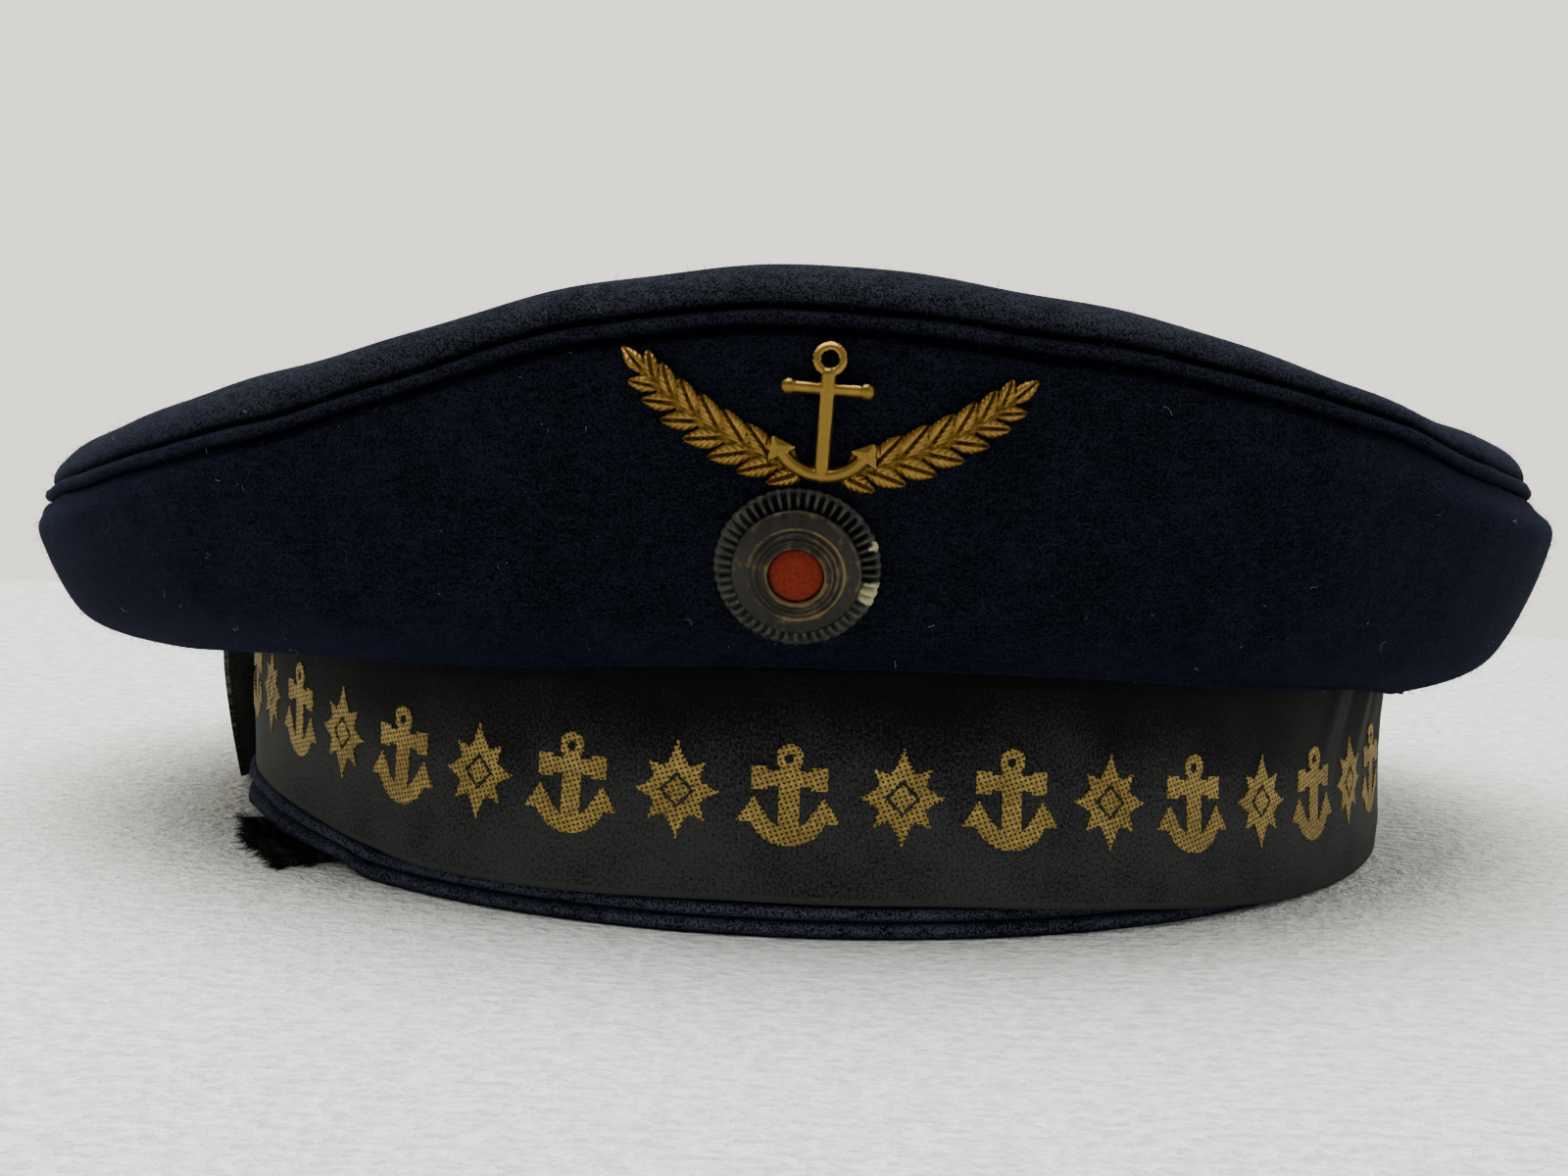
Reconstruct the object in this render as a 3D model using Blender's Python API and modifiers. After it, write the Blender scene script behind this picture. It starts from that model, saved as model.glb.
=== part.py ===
"""Sailor cap: a soft wool crown on a stiff headband, with a cap ribbon, a gilt badge and a pleated cockade.

Metres, +Z up, the cap's front towards -Y. The cap stands on the welt of its headband at Z = 0.
An angle goes round the cap from the front: 0 is the front, 90 the side at +X and 180 the rear.
A reach is a distance outwards from the headband's outer face, along the line to the crown's outline.
"""

import math

import bmesh
import bpy
import numpy as np
from mathutils import Vector
from mathutils.bvhtree import BVHTree

MM = 0.001
GAP = 0.3 * MM  # air between two pieces that touch on the real cap

# The headband, an oval for a head of about 578 mm round
BAND_CENTRE_X = 5.5 * MM  # the soft crown has slid a little towards -X
BAND_HALF_WIDTH = 86.5 * MM
BAND_HALF_LENGTH = 100.5 * MM
BAND_WALL = 2.5 * MM
BAND_TOP = 39.2 * MM
BAND_LEAN = 2.6 * MM  # at the +X side the headband's foot is drawn in
WELT_HEIGHT = 4.5 * MM
WELT_REACH = 1.4 * MM  # how far it stands out at most

# The crown
CROWN_HALF_WIDTH = 116.0 * MM
CROWN_HALF_LENGTH = 121.0 * MM
WOOL = 2.0 * MM
SEAM_Z = BAND_TOP + 0.4 * MM  # where the side panel is sewn to the headband
PIPING_RADIUS = 1.3 * MM
PIPING_INSET = 1.0 * MM  # from the crown's rim in to the middle of the piping
EDGE_RUN = 9.0 * MM  # the rolled edge of the top panel, from the rim in to its crest
PANEL_GAP = 0.7 * MM  # from the piping to the side panel's edge
TOP_GAP = 1.2 * MM  # from the piping to the top panel's edge, whose inner face reaches lower
TOP_INSET = 1.2 * MM  # the top panel's edge lies inside the side panel's
TOP_SAG = 2.5 * MM  # how far the middle of the top panel sinks below a tight membrane
SEAM_TURN_IN = 1.0 * MM  # the side panel's lower edge lies this far inside the headband's outer face
SEAM_REACH, SEAM_DROP = 1.8 * MM, 0.2 * MM  # where the panel comes out over the headband's top edge
TUCK_SHARE, TURN_SHARE = 0.5, 0.9  # how far down to the sag the tuck and the turn lie
SIDE_POINTS = 11  # from the seam to the rim
TOP_SHARES = (0.28, 0.55, 0.8, 1.0)  # rings of the top panel, from its middle to its crest
ROLL_STEPS = 4

# The cap ribbon
RIBBON_WIDTH = 31.0 * MM
RIBBON_THICK = 0.9 * MM
TAIL_THICK = 0.8 * MM
FLARE_FROM, FLARE_OVER = 0.5 * MM, 0.7 * MM  # it starts to stand out this far above the welt's top
KNEE_CLEAR, KNEE_RISE = 2.4 * MM, 0.8 * MM  # its bend back to the headband, above the welt and its low edge
OVER_CLEAR, OVER_RISE = 0.2 * MM, 0.4 * MM  # the end of the stretch that stands out, likewise

# Badge and cockade on the front of the crown
BADGE_X, BADGE_Z = 9.4 * MM, 69.2 * MM
BADGE_TILT = math.radians(-3.0)
COCKADE_X, COCKADE_Z = 6.3 * MM, 50.2 * MM
COCKADE_RADIUS = 10.5 * MM
COCKADE_FLUTES = 50
COCKADE_GAP = 0.4 * MM  # air between the disc and the nearest part of the panel
FLUTE = 0.25 * MM  # depth of the disc's pleats
COCKADE_LEAN = math.radians(15.0)  # the front panel leans forward, so the cockade looks down

SEGMENTS = 56  # straight stretches round the cap

# One row for each section of the crown, in mm. The side panel leaves the seam, is tucked down behind its
# sag, rounds out through the belly and the bulge and ends at the rim, under the piping. "in" columns are
# distances inwards from the crown's outline.
CROWN_COLUMNS = (
    "angle", "tuck_reach", "turn_reach", "sag_reach", "sag_z",
    "belly_in", "belly_z", "bulge_in", "bulge_z", "rim_in", "rim_z", "edge_rise",
)
CROWN_SECTIONS = (
    (-135, 3.0, 6.8, 12.0, 24.8, 6.5, 29.6, 0.0, 40.0, 1.2, 46.8, 6.4),
    (-112, 6.6, 10.2, 15.5, 24.8, 7.5, 28.9, 0.6, 39.8, 1.2, 45.8, 6.4),
    (-92, 6.6, 10.2, 15.5, 24.8, 7.9, 28.8, 1.0, 40.0, 1.2, 45.8, 6.6),
    (-78, 2.4, 7.4, 14.0, 25.1, 7.5, 29.0, 1.0, 40.6, 1.2, 46.8, 7.0),
    (-62, 1.9, 5.2, 10.0, 28.2, 7.4, 32.8, 1.0, 44.8, 0.8, 51.7, 7.4),
    (-45, 1.9, 3.9, 6.8, 31.2, 7.8, 37.0, 1.2, 50.8, 0.4, 58.7, 7.7),
    (-35, 1.9, 3.5, 5.9, 32.4, 7.8, 38.8, 1.6, 54.2, 0.2, 62.9, 8.5),
    (-25, 1.9, 3.1, 5.0, 33.6, 7.8, 40.5, 2.0, 57.6, 0.0, 69.0, 7.9),
    (-10, 1.9, 2.9, 4.5, 35.8, 7.5, 43.3, 2.3, 61.5, 0.0, 78.2, 6.4),
    (0, 1.9, 2.9, 4.5, 36.3, 7.5, 44.0, 2.3, 62.3, 0.0, 80.5, 6.0),
    (10, 1.9, 2.9, 4.5, 36.2, 7.5, 44.0, 2.2, 62.3, 0.1, 80.0, 6.3),
    (25, 1.9, 2.9, 4.5, 35.0, 7.5, 42.8, 1.8, 60.5, 0.4, 76.6, 6.2),
    (45, 1.9, 2.9, 4.5, 31.6, 7.3, 39.5, 1.1, 57.0, 1.2, 68.1, 5.2),
    (63, 1.9, 2.8, 4.2, 28.4, 7.4, 34.6, 0.4, 51.5, 2.0, 59.6, 5.8),
    (80, 1.9, 2.7, 4.2, 24.2, 7.2, 30.2, -0.3, 47.3, 2.8, 54.9, 5.5),
    (100, 1.9, 2.8, 4.4, 24.2, 7.2, 30.2, -0.2, 45.5, 2.6, 52.6, 5.6),
    (135, 1.9, 3.2, 5.0, 24.4, 7.0, 30.8, 0.2, 44.0, 2.0, 50.8, 5.6),
    (180, 1.9, 3.8, 6.5, 24.6, 7.0, 31.0, 0.0, 42.0, 1.6, 49.2, 6.0),
)

# One row for each corner of the welt's section: a reach in mm and a share of its height. Its two rolls
# are parted by a groove of stitching.
WELT_COLUMNS = ("reach", "share")
WELT_SECTION = (
    (-2.5, 0.0), (0.5, 0.0), (1.4, 0.2), (1.3, 0.43), (0.7, 0.52),
    (1.3, 0.62), (1.2, 0.88), (0.5, 1.0), (-2.5, 1.0),
)

# One row for each place round the headband, in mm. The ribbon has slipped down on the +X side.
RIBBON_COLUMNS = ("angle", "low_z")
RIBBON_SECTIONS = (
    (-130, 7.6), (-90, 8.0), (-66, 7.7), (-54, 6.7), (-42, 5.0), (0, 4.8), (18, 4.5),
    (30, 3.3), (40, 1.9), (50, 0.8), (62, 0.4), (90, 0.4), (125, 1.2), (160, 4.2), (180, 5.4),
)

# One row for each bend of the hanging tail, in mm from the headband's face and from the floor
PATH_COLUMNS = ("reach", "z")
HANGING_PATH = ((1.6, 36.2), (2.9, 33.6), (5.6, 29.4), (8.8, 24.6), (9.3, 19.0), (8.1, 9.5), (6.4, 0.6))
HANGING_FROM, HANGING_TO = -111.0, -91.5  # angles of its two edges

# One row for each bend of the tail that is turned up inside the headband and lies out under the welt
LYING_PATH = (
    (-3.75, 26.0), (-3.75, 13.0), (-3.75, 1.4), (-3.4, 0.55), (-2.6, 0.25), (2.5, 0.25), (7.6, 0.25),
)
LYING_FROM, LYING_TO = -69.5, -50.5
LYING_SLANT = 3.6 * MM  # how much shorter its rear edge is
LYING_LIFT = 1.4 * MM  # the welt is lifted off the floor where this tail passes under it
LIFT_MARGIN, LIFT_RUN = 3.0, 5.0  # degrees past each of its edges: fully lifted, and coming down again

# The badge: an anchor between two laurel sprays, laid out flat about its middle. A spray is an arc that
# leaves the anchor's foot and turns steadily upwards; one row for each pair of its leaves, in mm.
SPRAY_START = (0.8 * MM, -7.4 * MM)
SPRAY_LENGTH = 25.5 * MM
SPRAY_FROM, SPRAY_TO = math.radians(10), math.radians(44)  # its slope at the foot and at the tip
SPRAY_THICK = 0.7 * MM
LEAF_COLUMNS = ("along", "length", "width")
LEAF_ROWS = (
    (3.0, 5.2, 2.5), (6.5, 5.6, 2.8), (10.1, 5.8, 2.9), (13.7, 5.6, 2.8),
    (17.2, 5.3, 2.6), (20.5, 4.8, 2.4), (23.4, 4.2, 2.1),
)
TIP_LEAF = (4.4 * MM, 2.2 * MM)  # length and width of the single leaf at a spray's end
LEAF_SPREAD = math.radians(33)
LEAF_RISE = 0.7 * MM  # half a leaf's thickness
LEAF_BACK = 0.05 * MM  # the leaves' backs stand this far in front of the badge's back
LEAF_STAGGER = 0.9 * MM  # the upper leaf of a pair starts this much further along
LEAF_ROOT = 0.35  # a leaf starts this share of its length before its place on the stem
STEM_HALF_WIDTHS = (1.1 * MM, 0.5 * MM)  # at the foot and at the tip
ANCHOR_SHANK = (-7.6 * MM, 5.2 * MM, 0.7 * MM)  # foot, head and radius
ANCHOR_STOCK = (3.3 * MM, 4.6 * MM, 0.55 * MM)  # height, half length and radius
ANCHOR_RING = (6.7 * MM, 1.5 * MM, 0.42 * MM)  # height, radius and wire radius
ANCHOR_ARM_RADIUS, ANCHOR_ARM_SWEEP = 6.2 * MM, math.radians(62)
ANCHOR_DEPTH = 1.35 * MM  # how far its middle stands in front of the badge's back
# One row for each place along an arm from the anchor's foot: a share of its length and a radius in mm
ARM_COLUMNS = ("share", "radius")
ARM_ROWS = ((0.0, 0.7), (0.2, 0.65), (0.4, 0.6), (0.6, 0.75), (0.8, 1.25), (1.0, 0.05))

# The turned sections of the cockade's three pieces, one row for each corner, in mm from its axis and its
# back. The disc's rows also say what share of a flute's depth they carry, at the edge and on the face.
DISC_COLUMNS = ("radius", "depth", "edge_flute", "face_flute")
DISC_SECTION = (
    (0.0, 0.0, 0, 0), (10.0, 0.0, 0, 0), (10.35, 0.45, 1, 0),
    (9.85, 0.95, 1, 1), (7.4, 1.2, 0, 0.8), (0.0, 1.2, 0, 0),
)
BOSS_COLUMNS = ("radius", "depth")
BOSS_SECTION = (
    (3.5, 1.95), (3.5, 3.9), (3.7, 4.3), (4.2, 4.2), (4.4, 3.7), (4.8, 3.6), (5.2, 3.9), (6.0, 3.5),
    (6.3, 2.6), (6.6, 2.5), (7.2, 2.8), (7.75, 2.5), (7.75, 1.95),
)
CENTRE_SECTION = ((1.0, 3.4), (2.2, 3.2), (3.15, 2.8), (3.15, 1.95))


def table(columns, rows):
    """The rows as a dictionary of arrays, one for each named column."""
    return {name: np.array([row[i] for row in rows], float) for i, name in enumerate(columns)}


def round_the_cap(rows, column, angle):
    """A column's value at an angle, on a smooth curve through the rows that closes on itself."""
    at, value = rows["angle"], rows[column]
    at = np.concatenate([at[-2:] - 360, at, at[:2] + 360])
    value = np.concatenate([value[-2:], value, value[:2]])
    slope = np.gradient(value, at)
    angle = at[2] + (np.asarray(angle, float) - at[2]) % 360
    i = np.clip(np.searchsorted(at, angle, side="right") - 1, 0, len(at) - 2)
    span = at[i + 1] - at[i]
    t = (angle - at[i]) / span
    return (
        (2 * t**3 - 3 * t**2 + 1) * value[i]
        + (t**3 - 2 * t**2 + t) * span * slope[i]
        + (3 * t**2 - 2 * t**3) * value[i + 1]
        + (t**3 - t**2) * span * slope[i + 1]
    )


def smooth_step(x):
    """0 below 0, 1 above 1, with a smooth rise between."""
    x = np.clip(x, 0, 1)
    return x * x * (3 - 2 * x)


def through(points, count):
    """count points, evenly spaced along a smooth curve through the given ones (axis -2)."""
    points = np.asarray(points, float)
    first = 2 * points[..., :1, :] - points[..., 1:2, :]
    last = 2 * points[..., -1:, :] - points[..., -2:-1, :]
    p = np.concatenate([first, points, last], axis=-2)
    t = np.linspace(0, 1, 9)[:-1, None]
    spans = []
    for k in range(points.shape[-2] - 1):
        a, b, c, d = (p[..., None, k + j, :] for j in range(4))
        square = (2 * a - 5 * b + 4 * c - d) * t**2
        cube = (3 * b - a - 3 * c + d) * t**3
        spans.append(0.5 * (2 * b + (c - a) * t + square + cube))
    fine = np.concatenate([*spans, points[..., -1:, :]], axis=-2)
    step = np.linalg.norm(np.diff(fine, axis=-2), axis=-1)
    along = np.concatenate([np.zeros_like(step[..., :1]), np.cumsum(step, axis=-1)], axis=-1)
    wanted = np.linspace(0, 1, count)
    flat_fine = fine.reshape(-1, fine.shape[-2], fine.shape[-1])
    flat_along = along.reshape(-1, along.shape[-1])
    out = [
        np.stack([np.interp(wanted * s[-1], s, curve[:, k]) for k in range(curve.shape[1])], axis=-1)
        for curve, s in zip(flat_fine, flat_along)
    ]
    return np.array(out).reshape(*points.shape[:-2], count, points.shape[-1])


def band_point(angle, reach, z=BAND_TOP):
    """The X and Y of a point of the headband's outline at a height, moved outwards by a reach."""
    a = np.radians(angle)
    reach = reach - BAND_LEAN * np.clip(np.sin(a), 0, 1) ** 2 * (1 - np.minimum(z, BAND_TOP) / BAND_TOP)
    x = BAND_CENTRE_X + (BAND_HALF_WIDTH + reach) * np.sin(a)
    return np.stack([x, -(BAND_HALF_LENGTH + reach) * np.cos(a)], axis=-1)


def crown_point(angle, inwards=0.0):
    """The X and Y of a point of the crown's outline, moved inwards."""
    a = np.radians(angle)
    x = (CROWN_HALF_WIDTH - inwards) * np.sin(a)
    return np.stack([x, -(CROWN_HALF_LENGTH - inwards) * np.cos(a)], axis=-1)


def circle(count):
    """Evenly spaced angles once round, in radians."""
    return np.arange(count) * 2 * math.pi / count


def with_height(xy, z):
    """Points of an X and Y with a height, or with a height for each."""
    return np.concatenate([xy, np.broadcast_to(z, xy.shape[:-1])[..., None]], axis=-1)


def side_sections(angle, count):
    """For each angle, count points of the side panel's outer face, from the seam to the rim."""
    s = {c: round_the_cap(CROWN, c, angle) * MM for c in CROWN_COLUMNS[1:]}
    drop = SEAM_Z - s["sag_z"]
    seam = with_height(band_point(angle, -SEAM_TURN_IN), SEAM_Z)
    knots = [
        with_height(band_point(angle, SEAM_REACH), SEAM_Z - SEAM_DROP),
        with_height(band_point(angle, s["tuck_reach"]), SEAM_Z - TUCK_SHARE * drop),
        with_height(band_point(angle, s["turn_reach"]), SEAM_Z - TURN_SHARE * drop),
        with_height(band_point(angle, s["sag_reach"]), s["sag_z"]),
        with_height(crown_point(angle, s["belly_in"]), s["belly_z"]),
        with_height(crown_point(angle, s["bulge_in"]), s["bulge_z"]),
        with_height(crown_point(angle, s["rim_in"]), s["rim_z"] - PIPING_RADIUS - PANEL_GAP),
    ]
    panel = through(np.stack(knots, axis=-2), count - 1)
    return np.concatenate([seam[..., None, :], panel], axis=-2)


def top_rings(angle, shares, roll_steps):
    """Rings of the top panel: shares of the way from the middle to the crest, then down the rolled edge."""
    rim_in, rim_z, rise = (round_the_cap(CROWN, c, angle) * MM for c in ("rim_in", "rim_z", "edge_rise"))
    wave = np.fft.rfft(rim_z + rise) / len(angle)
    wave[1:] *= 2
    order = np.arange(len(wave))
    rings = []
    for share in shares:
        turn = np.exp(1j * np.outer(np.radians(angle - angle[0]), order))
        height = (turn * wave * share**order).real.sum(axis=1) - TOP_SAG * (1 - share**2)
        plan = crown_point(angle, rim_in + EDGE_RUN) * share
        rings.append(with_height(plan, height))
    fall = rise - PIPING_RADIUS - TOP_GAP
    for k in range(1, roll_steps + 1):
        a = 0.5 * math.pi * k / roll_steps
        plan = crown_point(angle, rim_in + TOP_INSET + (EDGE_RUN - TOP_INSET) * (1 - math.sin(a)))
        rings.append(with_height(plan, rim_z + rise - fall * (1 - math.cos(a))))
    return rings


def ribbon_low(angle):
    return round_the_cap(RIBBON, "low_z", angle) * MM


def welt_top(angle):
    """The welt stands as high as the ribbon's lower edge lets it."""
    return np.maximum(WELT_HEIGHT, ribbon_low(angle) - GAP)


def collection(name):
    made = bpy.data.collections.new(name)
    bpy.context.scene.collection.children.link(made)
    return made


def material(name, colour, roughness, metallic=0.0):
    made = bpy.data.materials.new(name)
    made.use_nodes = True
    shader = made.node_tree.nodes["Principled BSDF"]
    shader.inputs["Base Color"].default_value = (*colour, 1)
    shader.inputs["Roughness"].default_value = roughness
    shader.inputs["Metallic"].default_value = metallic
    return made


def add(name, mesh, finish):
    """A named object of the cap for a mesh, with its material."""
    made = bpy.data.objects.new(name, mesh)
    CAP.objects.link(made)
    mesh.materials.clear()
    mesh.materials.append(finish)
    mesh.shade_smooth()
    mesh.set_sharp_from_angle(angle=math.radians(40))
    return made


def tool(name, mesh):
    """A hidden object that is joined to another one."""
    made = bpy.data.objects.new(name, mesh)
    made.hide_render = True
    made.display_type = "WIRE"
    TOOLS.objects.link(made)
    return made


def loft(name, rings, closed_round=True, closed_across=False, pole_first=False):
    """A mesh through rings of points: rings[i][j] joins its neighbours i + 1 and j + 1."""
    rings = np.asarray(rings, float)
    rows, cols = rings.shape[:2]
    index = np.arange(rows * cols).reshape(rows, cols)
    if closed_across:
        index = np.concatenate([index, index[:1]])
    if closed_round:
        index = np.concatenate([index, index[:, :1]], axis=1)
    a, b, c, d = index[:-1, :-1], index[:-1, 1:], index[1:, 1:], index[1:, :-1]
    faces = np.stack([a, b, c, d], axis=-1).reshape(-1, 4).tolist()
    points = rings.reshape(-1, 3)
    if pole_first:
        points = np.concatenate([points, rings[0].mean(axis=0, keepdims=True)])
        ring = index[0]
        faces += [[len(points) - 1, int(q), int(p)] for p, q in zip(ring[:-1], ring[1:])]
    mesh = bpy.data.meshes.new(name)
    mesh.from_pydata(points.tolist(), [], faces)
    return mended(mesh)


def mended(mesh, merge=0.0, fill=False):
    """The mesh with close points merged, its open ends filled if asked and its faces all turned outwards."""
    bm = bmesh.new()
    bm.from_mesh(mesh)
    if merge:
        bmesh.ops.remove_doubles(bm, verts=bm.verts, dist=merge)
        bmesh.ops.dissolve_degenerate(bm, dist=merge, edges=bm.edges)
    if fill:
        bmesh.ops.holes_fill(bm, edges=bm.edges)
    bmesh.ops.recalc_face_normals(bm, faces=bm.faces)
    bm.to_mesh(mesh)
    bm.free()
    return mesh


def wall(shell, thickness):
    """Solidify an open surface inwards, away from where its faces point."""
    made = shell.modifiers.new("wall", "SOLIDIFY")
    made.thickness = thickness
    made.offset = -1
    made.use_rim = True
    return made


def faces_point(mesh, outwards_at):
    """Turn the mesh so that the face nearest to a point faces the way the point lies from it."""
    best = min(mesh.polygons, key=lambda f: (f.center - outwards_at).length)
    if best.normal.dot(outwards_at - best.center) < 0:
        mesh.flip_normals()


# ---------------------------------------------------------------- start

for old in list(bpy.data.objects):
    bpy.data.objects.remove(old, do_unlink=True)

CAP = collection("sailor_cap")
TOOLS = collection("tools")
CROWN = table(CROWN_COLUMNS, CROWN_SECTIONS)
RIBBON = table(RIBBON_COLUMNS, RIBBON_SECTIONS)
WELT = table(WELT_COLUMNS, WELT_SECTION)
ROUND = np.arange(SEGMENTS) * 360.0 / SEGMENTS - 180.0

WOOL_CLOTH = material("navy wool", (0.008, 0.011, 0.030), 0.9)
BAND_CLOTH = material("headband wool", (0.007, 0.010, 0.026), 0.9)
RIBBON_CLOTH = material("black ribbon", (0.012, 0.013, 0.013), 0.6)
GILT = material("gilt brass", (0.55, 0.33, 0.09), 0.35, 1.0)
TARNISHED = material("tarnished metal", (0.06, 0.055, 0.05), 0.45, 1.0)
RED_CLOTH = material("red cloth", (0.55, 0.06, 0.02), 0.9)


# ---------------------------------------------------------------- crown

def crown_side():
    """The side panel, from the seam on the headband out and up to the piping."""
    rings = side_sections(ROUND, SIDE_POINTS).swapaxes(0, 1)
    made = add("crown_side", loft("crown_side", rings), WOOL_CLOTH)
    faces_point(made.data, Vector((0, -2 * CROWN_HALF_LENGTH, 60 * MM)))
    wall(made, WOOL)
    return made


def crown_top():
    """The oval top panel, rolled over at its edge."""
    rings = top_rings(ROUND, TOP_SHARES, ROLL_STEPS)
    made = add("crown_top", loft("crown_top", rings, pole_first=True), WOOL_CLOTH)
    faces_point(made.data, Vector((0, 0, 1)))
    wall(made, WOOL)
    return made


def rim_piping():
    """A rolled welt sewn into the seam between the two panels."""
    rim_in, rim_z = (round_the_cap(CROWN, c, ROUND) * MM for c in ("rim_in", "rim_z"))
    path = with_height(crown_point(ROUND, rim_in + PIPING_INSET), rim_z)
    curve = bpy.data.curves.new("rim_piping", "CURVE")
    curve.dimensions = "3D"
    curve.bevel_depth = PIPING_RADIUS
    curve.bevel_resolution = 1
    spline = curve.splines.new("POLY")
    spline.points.add(len(path) - 1)
    spline.points.foreach_set("co", np.concatenate([path, np.ones((len(path), 1))], axis=1).ravel())
    spline.use_cyclic_u = True
    curve.materials.append(WOOL_CLOTH)
    made = bpy.data.objects.new("rim_piping", curve)
    CAP.objects.link(made)
    return made


# ---------------------------------------------------------------- headband

def headband():
    low = welt_top(ROUND) + GAP
    heights = [low + (BAND_TOP - low) * t for t in (0, 0.5, 1)]
    rings = [with_height(band_point(ROUND, 0.0, z), z) for z in heights]
    made = add("headband", loft("headband", rings), BAND_CLOTH)
    faces_point(made.data, Vector((0, -2 * BAND_HALF_LENGTH, 20 * MM)))
    wall(made, BAND_WALL)
    return made


def lower_welt():
    """Two rolls of wool round the foot of the headband, with a flat underside to stand on."""
    top = welt_top(ROUND)
    middle = 0.5 * (LYING_FROM + LYING_TO)
    half = 0.5 * (LYING_TO - LYING_FROM) + LIFT_MARGIN
    lift = LYING_LIFT * (1 - smooth_step((np.abs(ROUND - middle) - half) / LIFT_RUN))
    rings = [
        with_height(band_point(ROUND, reach * MM, share * top), lift + (top - lift) * share)
        for reach, share in zip(WELT["reach"], WELT["share"])
    ]
    return add("lower_welt", loft("lower_welt", rings, closed_across=True), BAND_CLOTH)


# ---------------------------------------------------------------- ribbon

def cap_ribbon():
    """The woven ribbon round the headband; where it has slipped down it stands out over the welt."""
    low = ribbon_low(ROUND)
    high = np.minimum(low + RIBBON_WIDTH, BAND_TOP - GAP)
    flare = (WELT_REACH + GAP) * smooth_step((WELT_HEIGHT + FLARE_FROM - low) / FLARE_OVER)
    knee = np.maximum(low + KNEE_RISE, WELT_HEIGHT + KNEE_CLEAR)
    over = np.maximum(low + OVER_RISE, np.minimum(WELT_HEIGHT, knee - 2 * OVER_CLEAR) + OVER_CLEAR)
    levels = ((low, flare), (over, flare), (knee, 0.0), (high, 0.0))
    rings = [with_height(band_point(ROUND, GAP + out, z), z) for z, out in levels]
    outer = [with_height(band_point(ROUND, GAP + out + RIBBON_THICK, z), z) for z, out in levels]
    return add("cap_ribbon", loft("cap_ribbon", rings + outer[::-1], closed_across=True), RIBBON_CLOTH)


def strip(name, path, angles, slant=0.0):
    """A ribbon end: a path of reach and height, carried along the headband between two angles.

    The last stretch of the path is shorter by the slant at the first angle.
    """
    tangent = np.gradient(path, axis=0)
    tangent /= np.linalg.norm(tangent, axis=1, keepdims=True)
    normal = np.stack([-tangent[:, 1], tangent[:, 0]], axis=1)
    loop = np.concatenate([path, (path + TAIL_THICK * normal)[::-1]])
    last = np.isin(np.arange(len(loop)), (len(path) - 1, len(path)))
    shares = np.linspace(1, 0, len(angles))
    rings = [
        with_height(band_point(a, loop[:, 0] - slant * t * last), loop[:, 1])
        for a, t in zip(angles, shares)
    ]
    mesh = loft(name, np.array(rings).swapaxes(0, 1), closed_round=False, closed_across=True)
    return add(name, mended(mesh, fill=True), RIBBON_CLOTH)


def path(rows):
    """A path's rows as points, in metres."""
    columns = table(PATH_COLUMNS, rows)
    return np.stack([columns["reach"], columns["z"]], axis=1) * MM


def tails():
    """The ribbon's ends: one hangs at the -X side, one is turned up inside and lies out under the welt."""
    strip("ribbon_tail_hanging", through(path(HANGING_PATH), 10), np.linspace(HANGING_FROM, HANGING_TO, 6))
    strip("ribbon_tail_lying", path(LYING_PATH), np.linspace(LYING_FROM, LYING_TO, 6), LYING_SLANT)


# ---------------------------------------------------------------- badge and cockade

def panel_finder():
    """A function that gives the Y of the side panel's front at an X and a Z, or just below its edge."""
    tree = BVHTree.FromObject(bpy.data.objects["crown_side"], bpy.context.evaluated_depsgraph_get())

    def find(x, z):
        hit = None
        while hit is None:
            hit = tree.ray_cast(Vector((x, -2 * CROWN_HALF_LENGTH, z)), Vector((0, 1, 0)))[0]
            z -= 0.5 * MM
        return hit.y

    return find


def spray_point(along, side):
    """A place on a spray's arc and the arc's slope there."""
    turn = SPRAY_TO - SPRAY_FROM
    slope = SPRAY_FROM + turn * along / SPRAY_LENGTH
    x = SPRAY_START[0] + SPRAY_LENGTH * (math.sin(slope) - math.sin(SPRAY_FROM)) / turn
    y = SPRAY_START[1] + SPRAY_LENGTH * (math.cos(SPRAY_FROM) - math.cos(slope)) / turn
    return side * x, y, slope if side > 0 else math.pi - slope


def leaf(x, y, turn, length, width):
    """A pointed, domed leaf that starts at a point of the flat layout."""
    bm = bmesh.new()
    bmesh.ops.create_uvsphere(bm, u_segments=5, v_segments=4, radius=1.0)
    c, s = math.cos(turn), math.sin(turn)
    for v in bm.verts:
        along, across, depth = 0.5 * length * (1 + v.co.z), 0.5 * width * v.co.x, LEAF_RISE * (1 + v.co.y)
        v.co = Vector((x + along * c - across * s, y + along * s + across * c, depth + LEAF_BACK))
    mesh = bpy.data.meshes.new("leaf")
    bm.to_mesh(mesh)
    bm.free()
    return tool("leaf", mesh)


def bar(points, radii, sides=6, closed=False):
    """A bar along points of the flat layout, thick as its radii say."""
    points = np.asarray(points, float)
    if closed:
        ahead = np.roll(points, -1, axis=0) - np.roll(points, 1, axis=0)
    else:
        ahead = np.gradient(points, axis=0)
    ahead /= np.linalg.norm(ahead, axis=1, keepdims=True)
    across = np.stack([-ahead[:, 1], ahead[:, 0]], axis=1)
    a = circle(sides)
    radii = np.broadcast_to(radii, len(points))[:, None]
    flat = points[:, None, :] + (radii * np.cos(a))[..., None] * across[:, None, :]
    rings = with_height(flat, ANCHOR_DEPTH + radii * np.sin(a))
    return tool("bar", mended(loft("bar", rings, closed_across=closed), fill=not closed))


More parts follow.
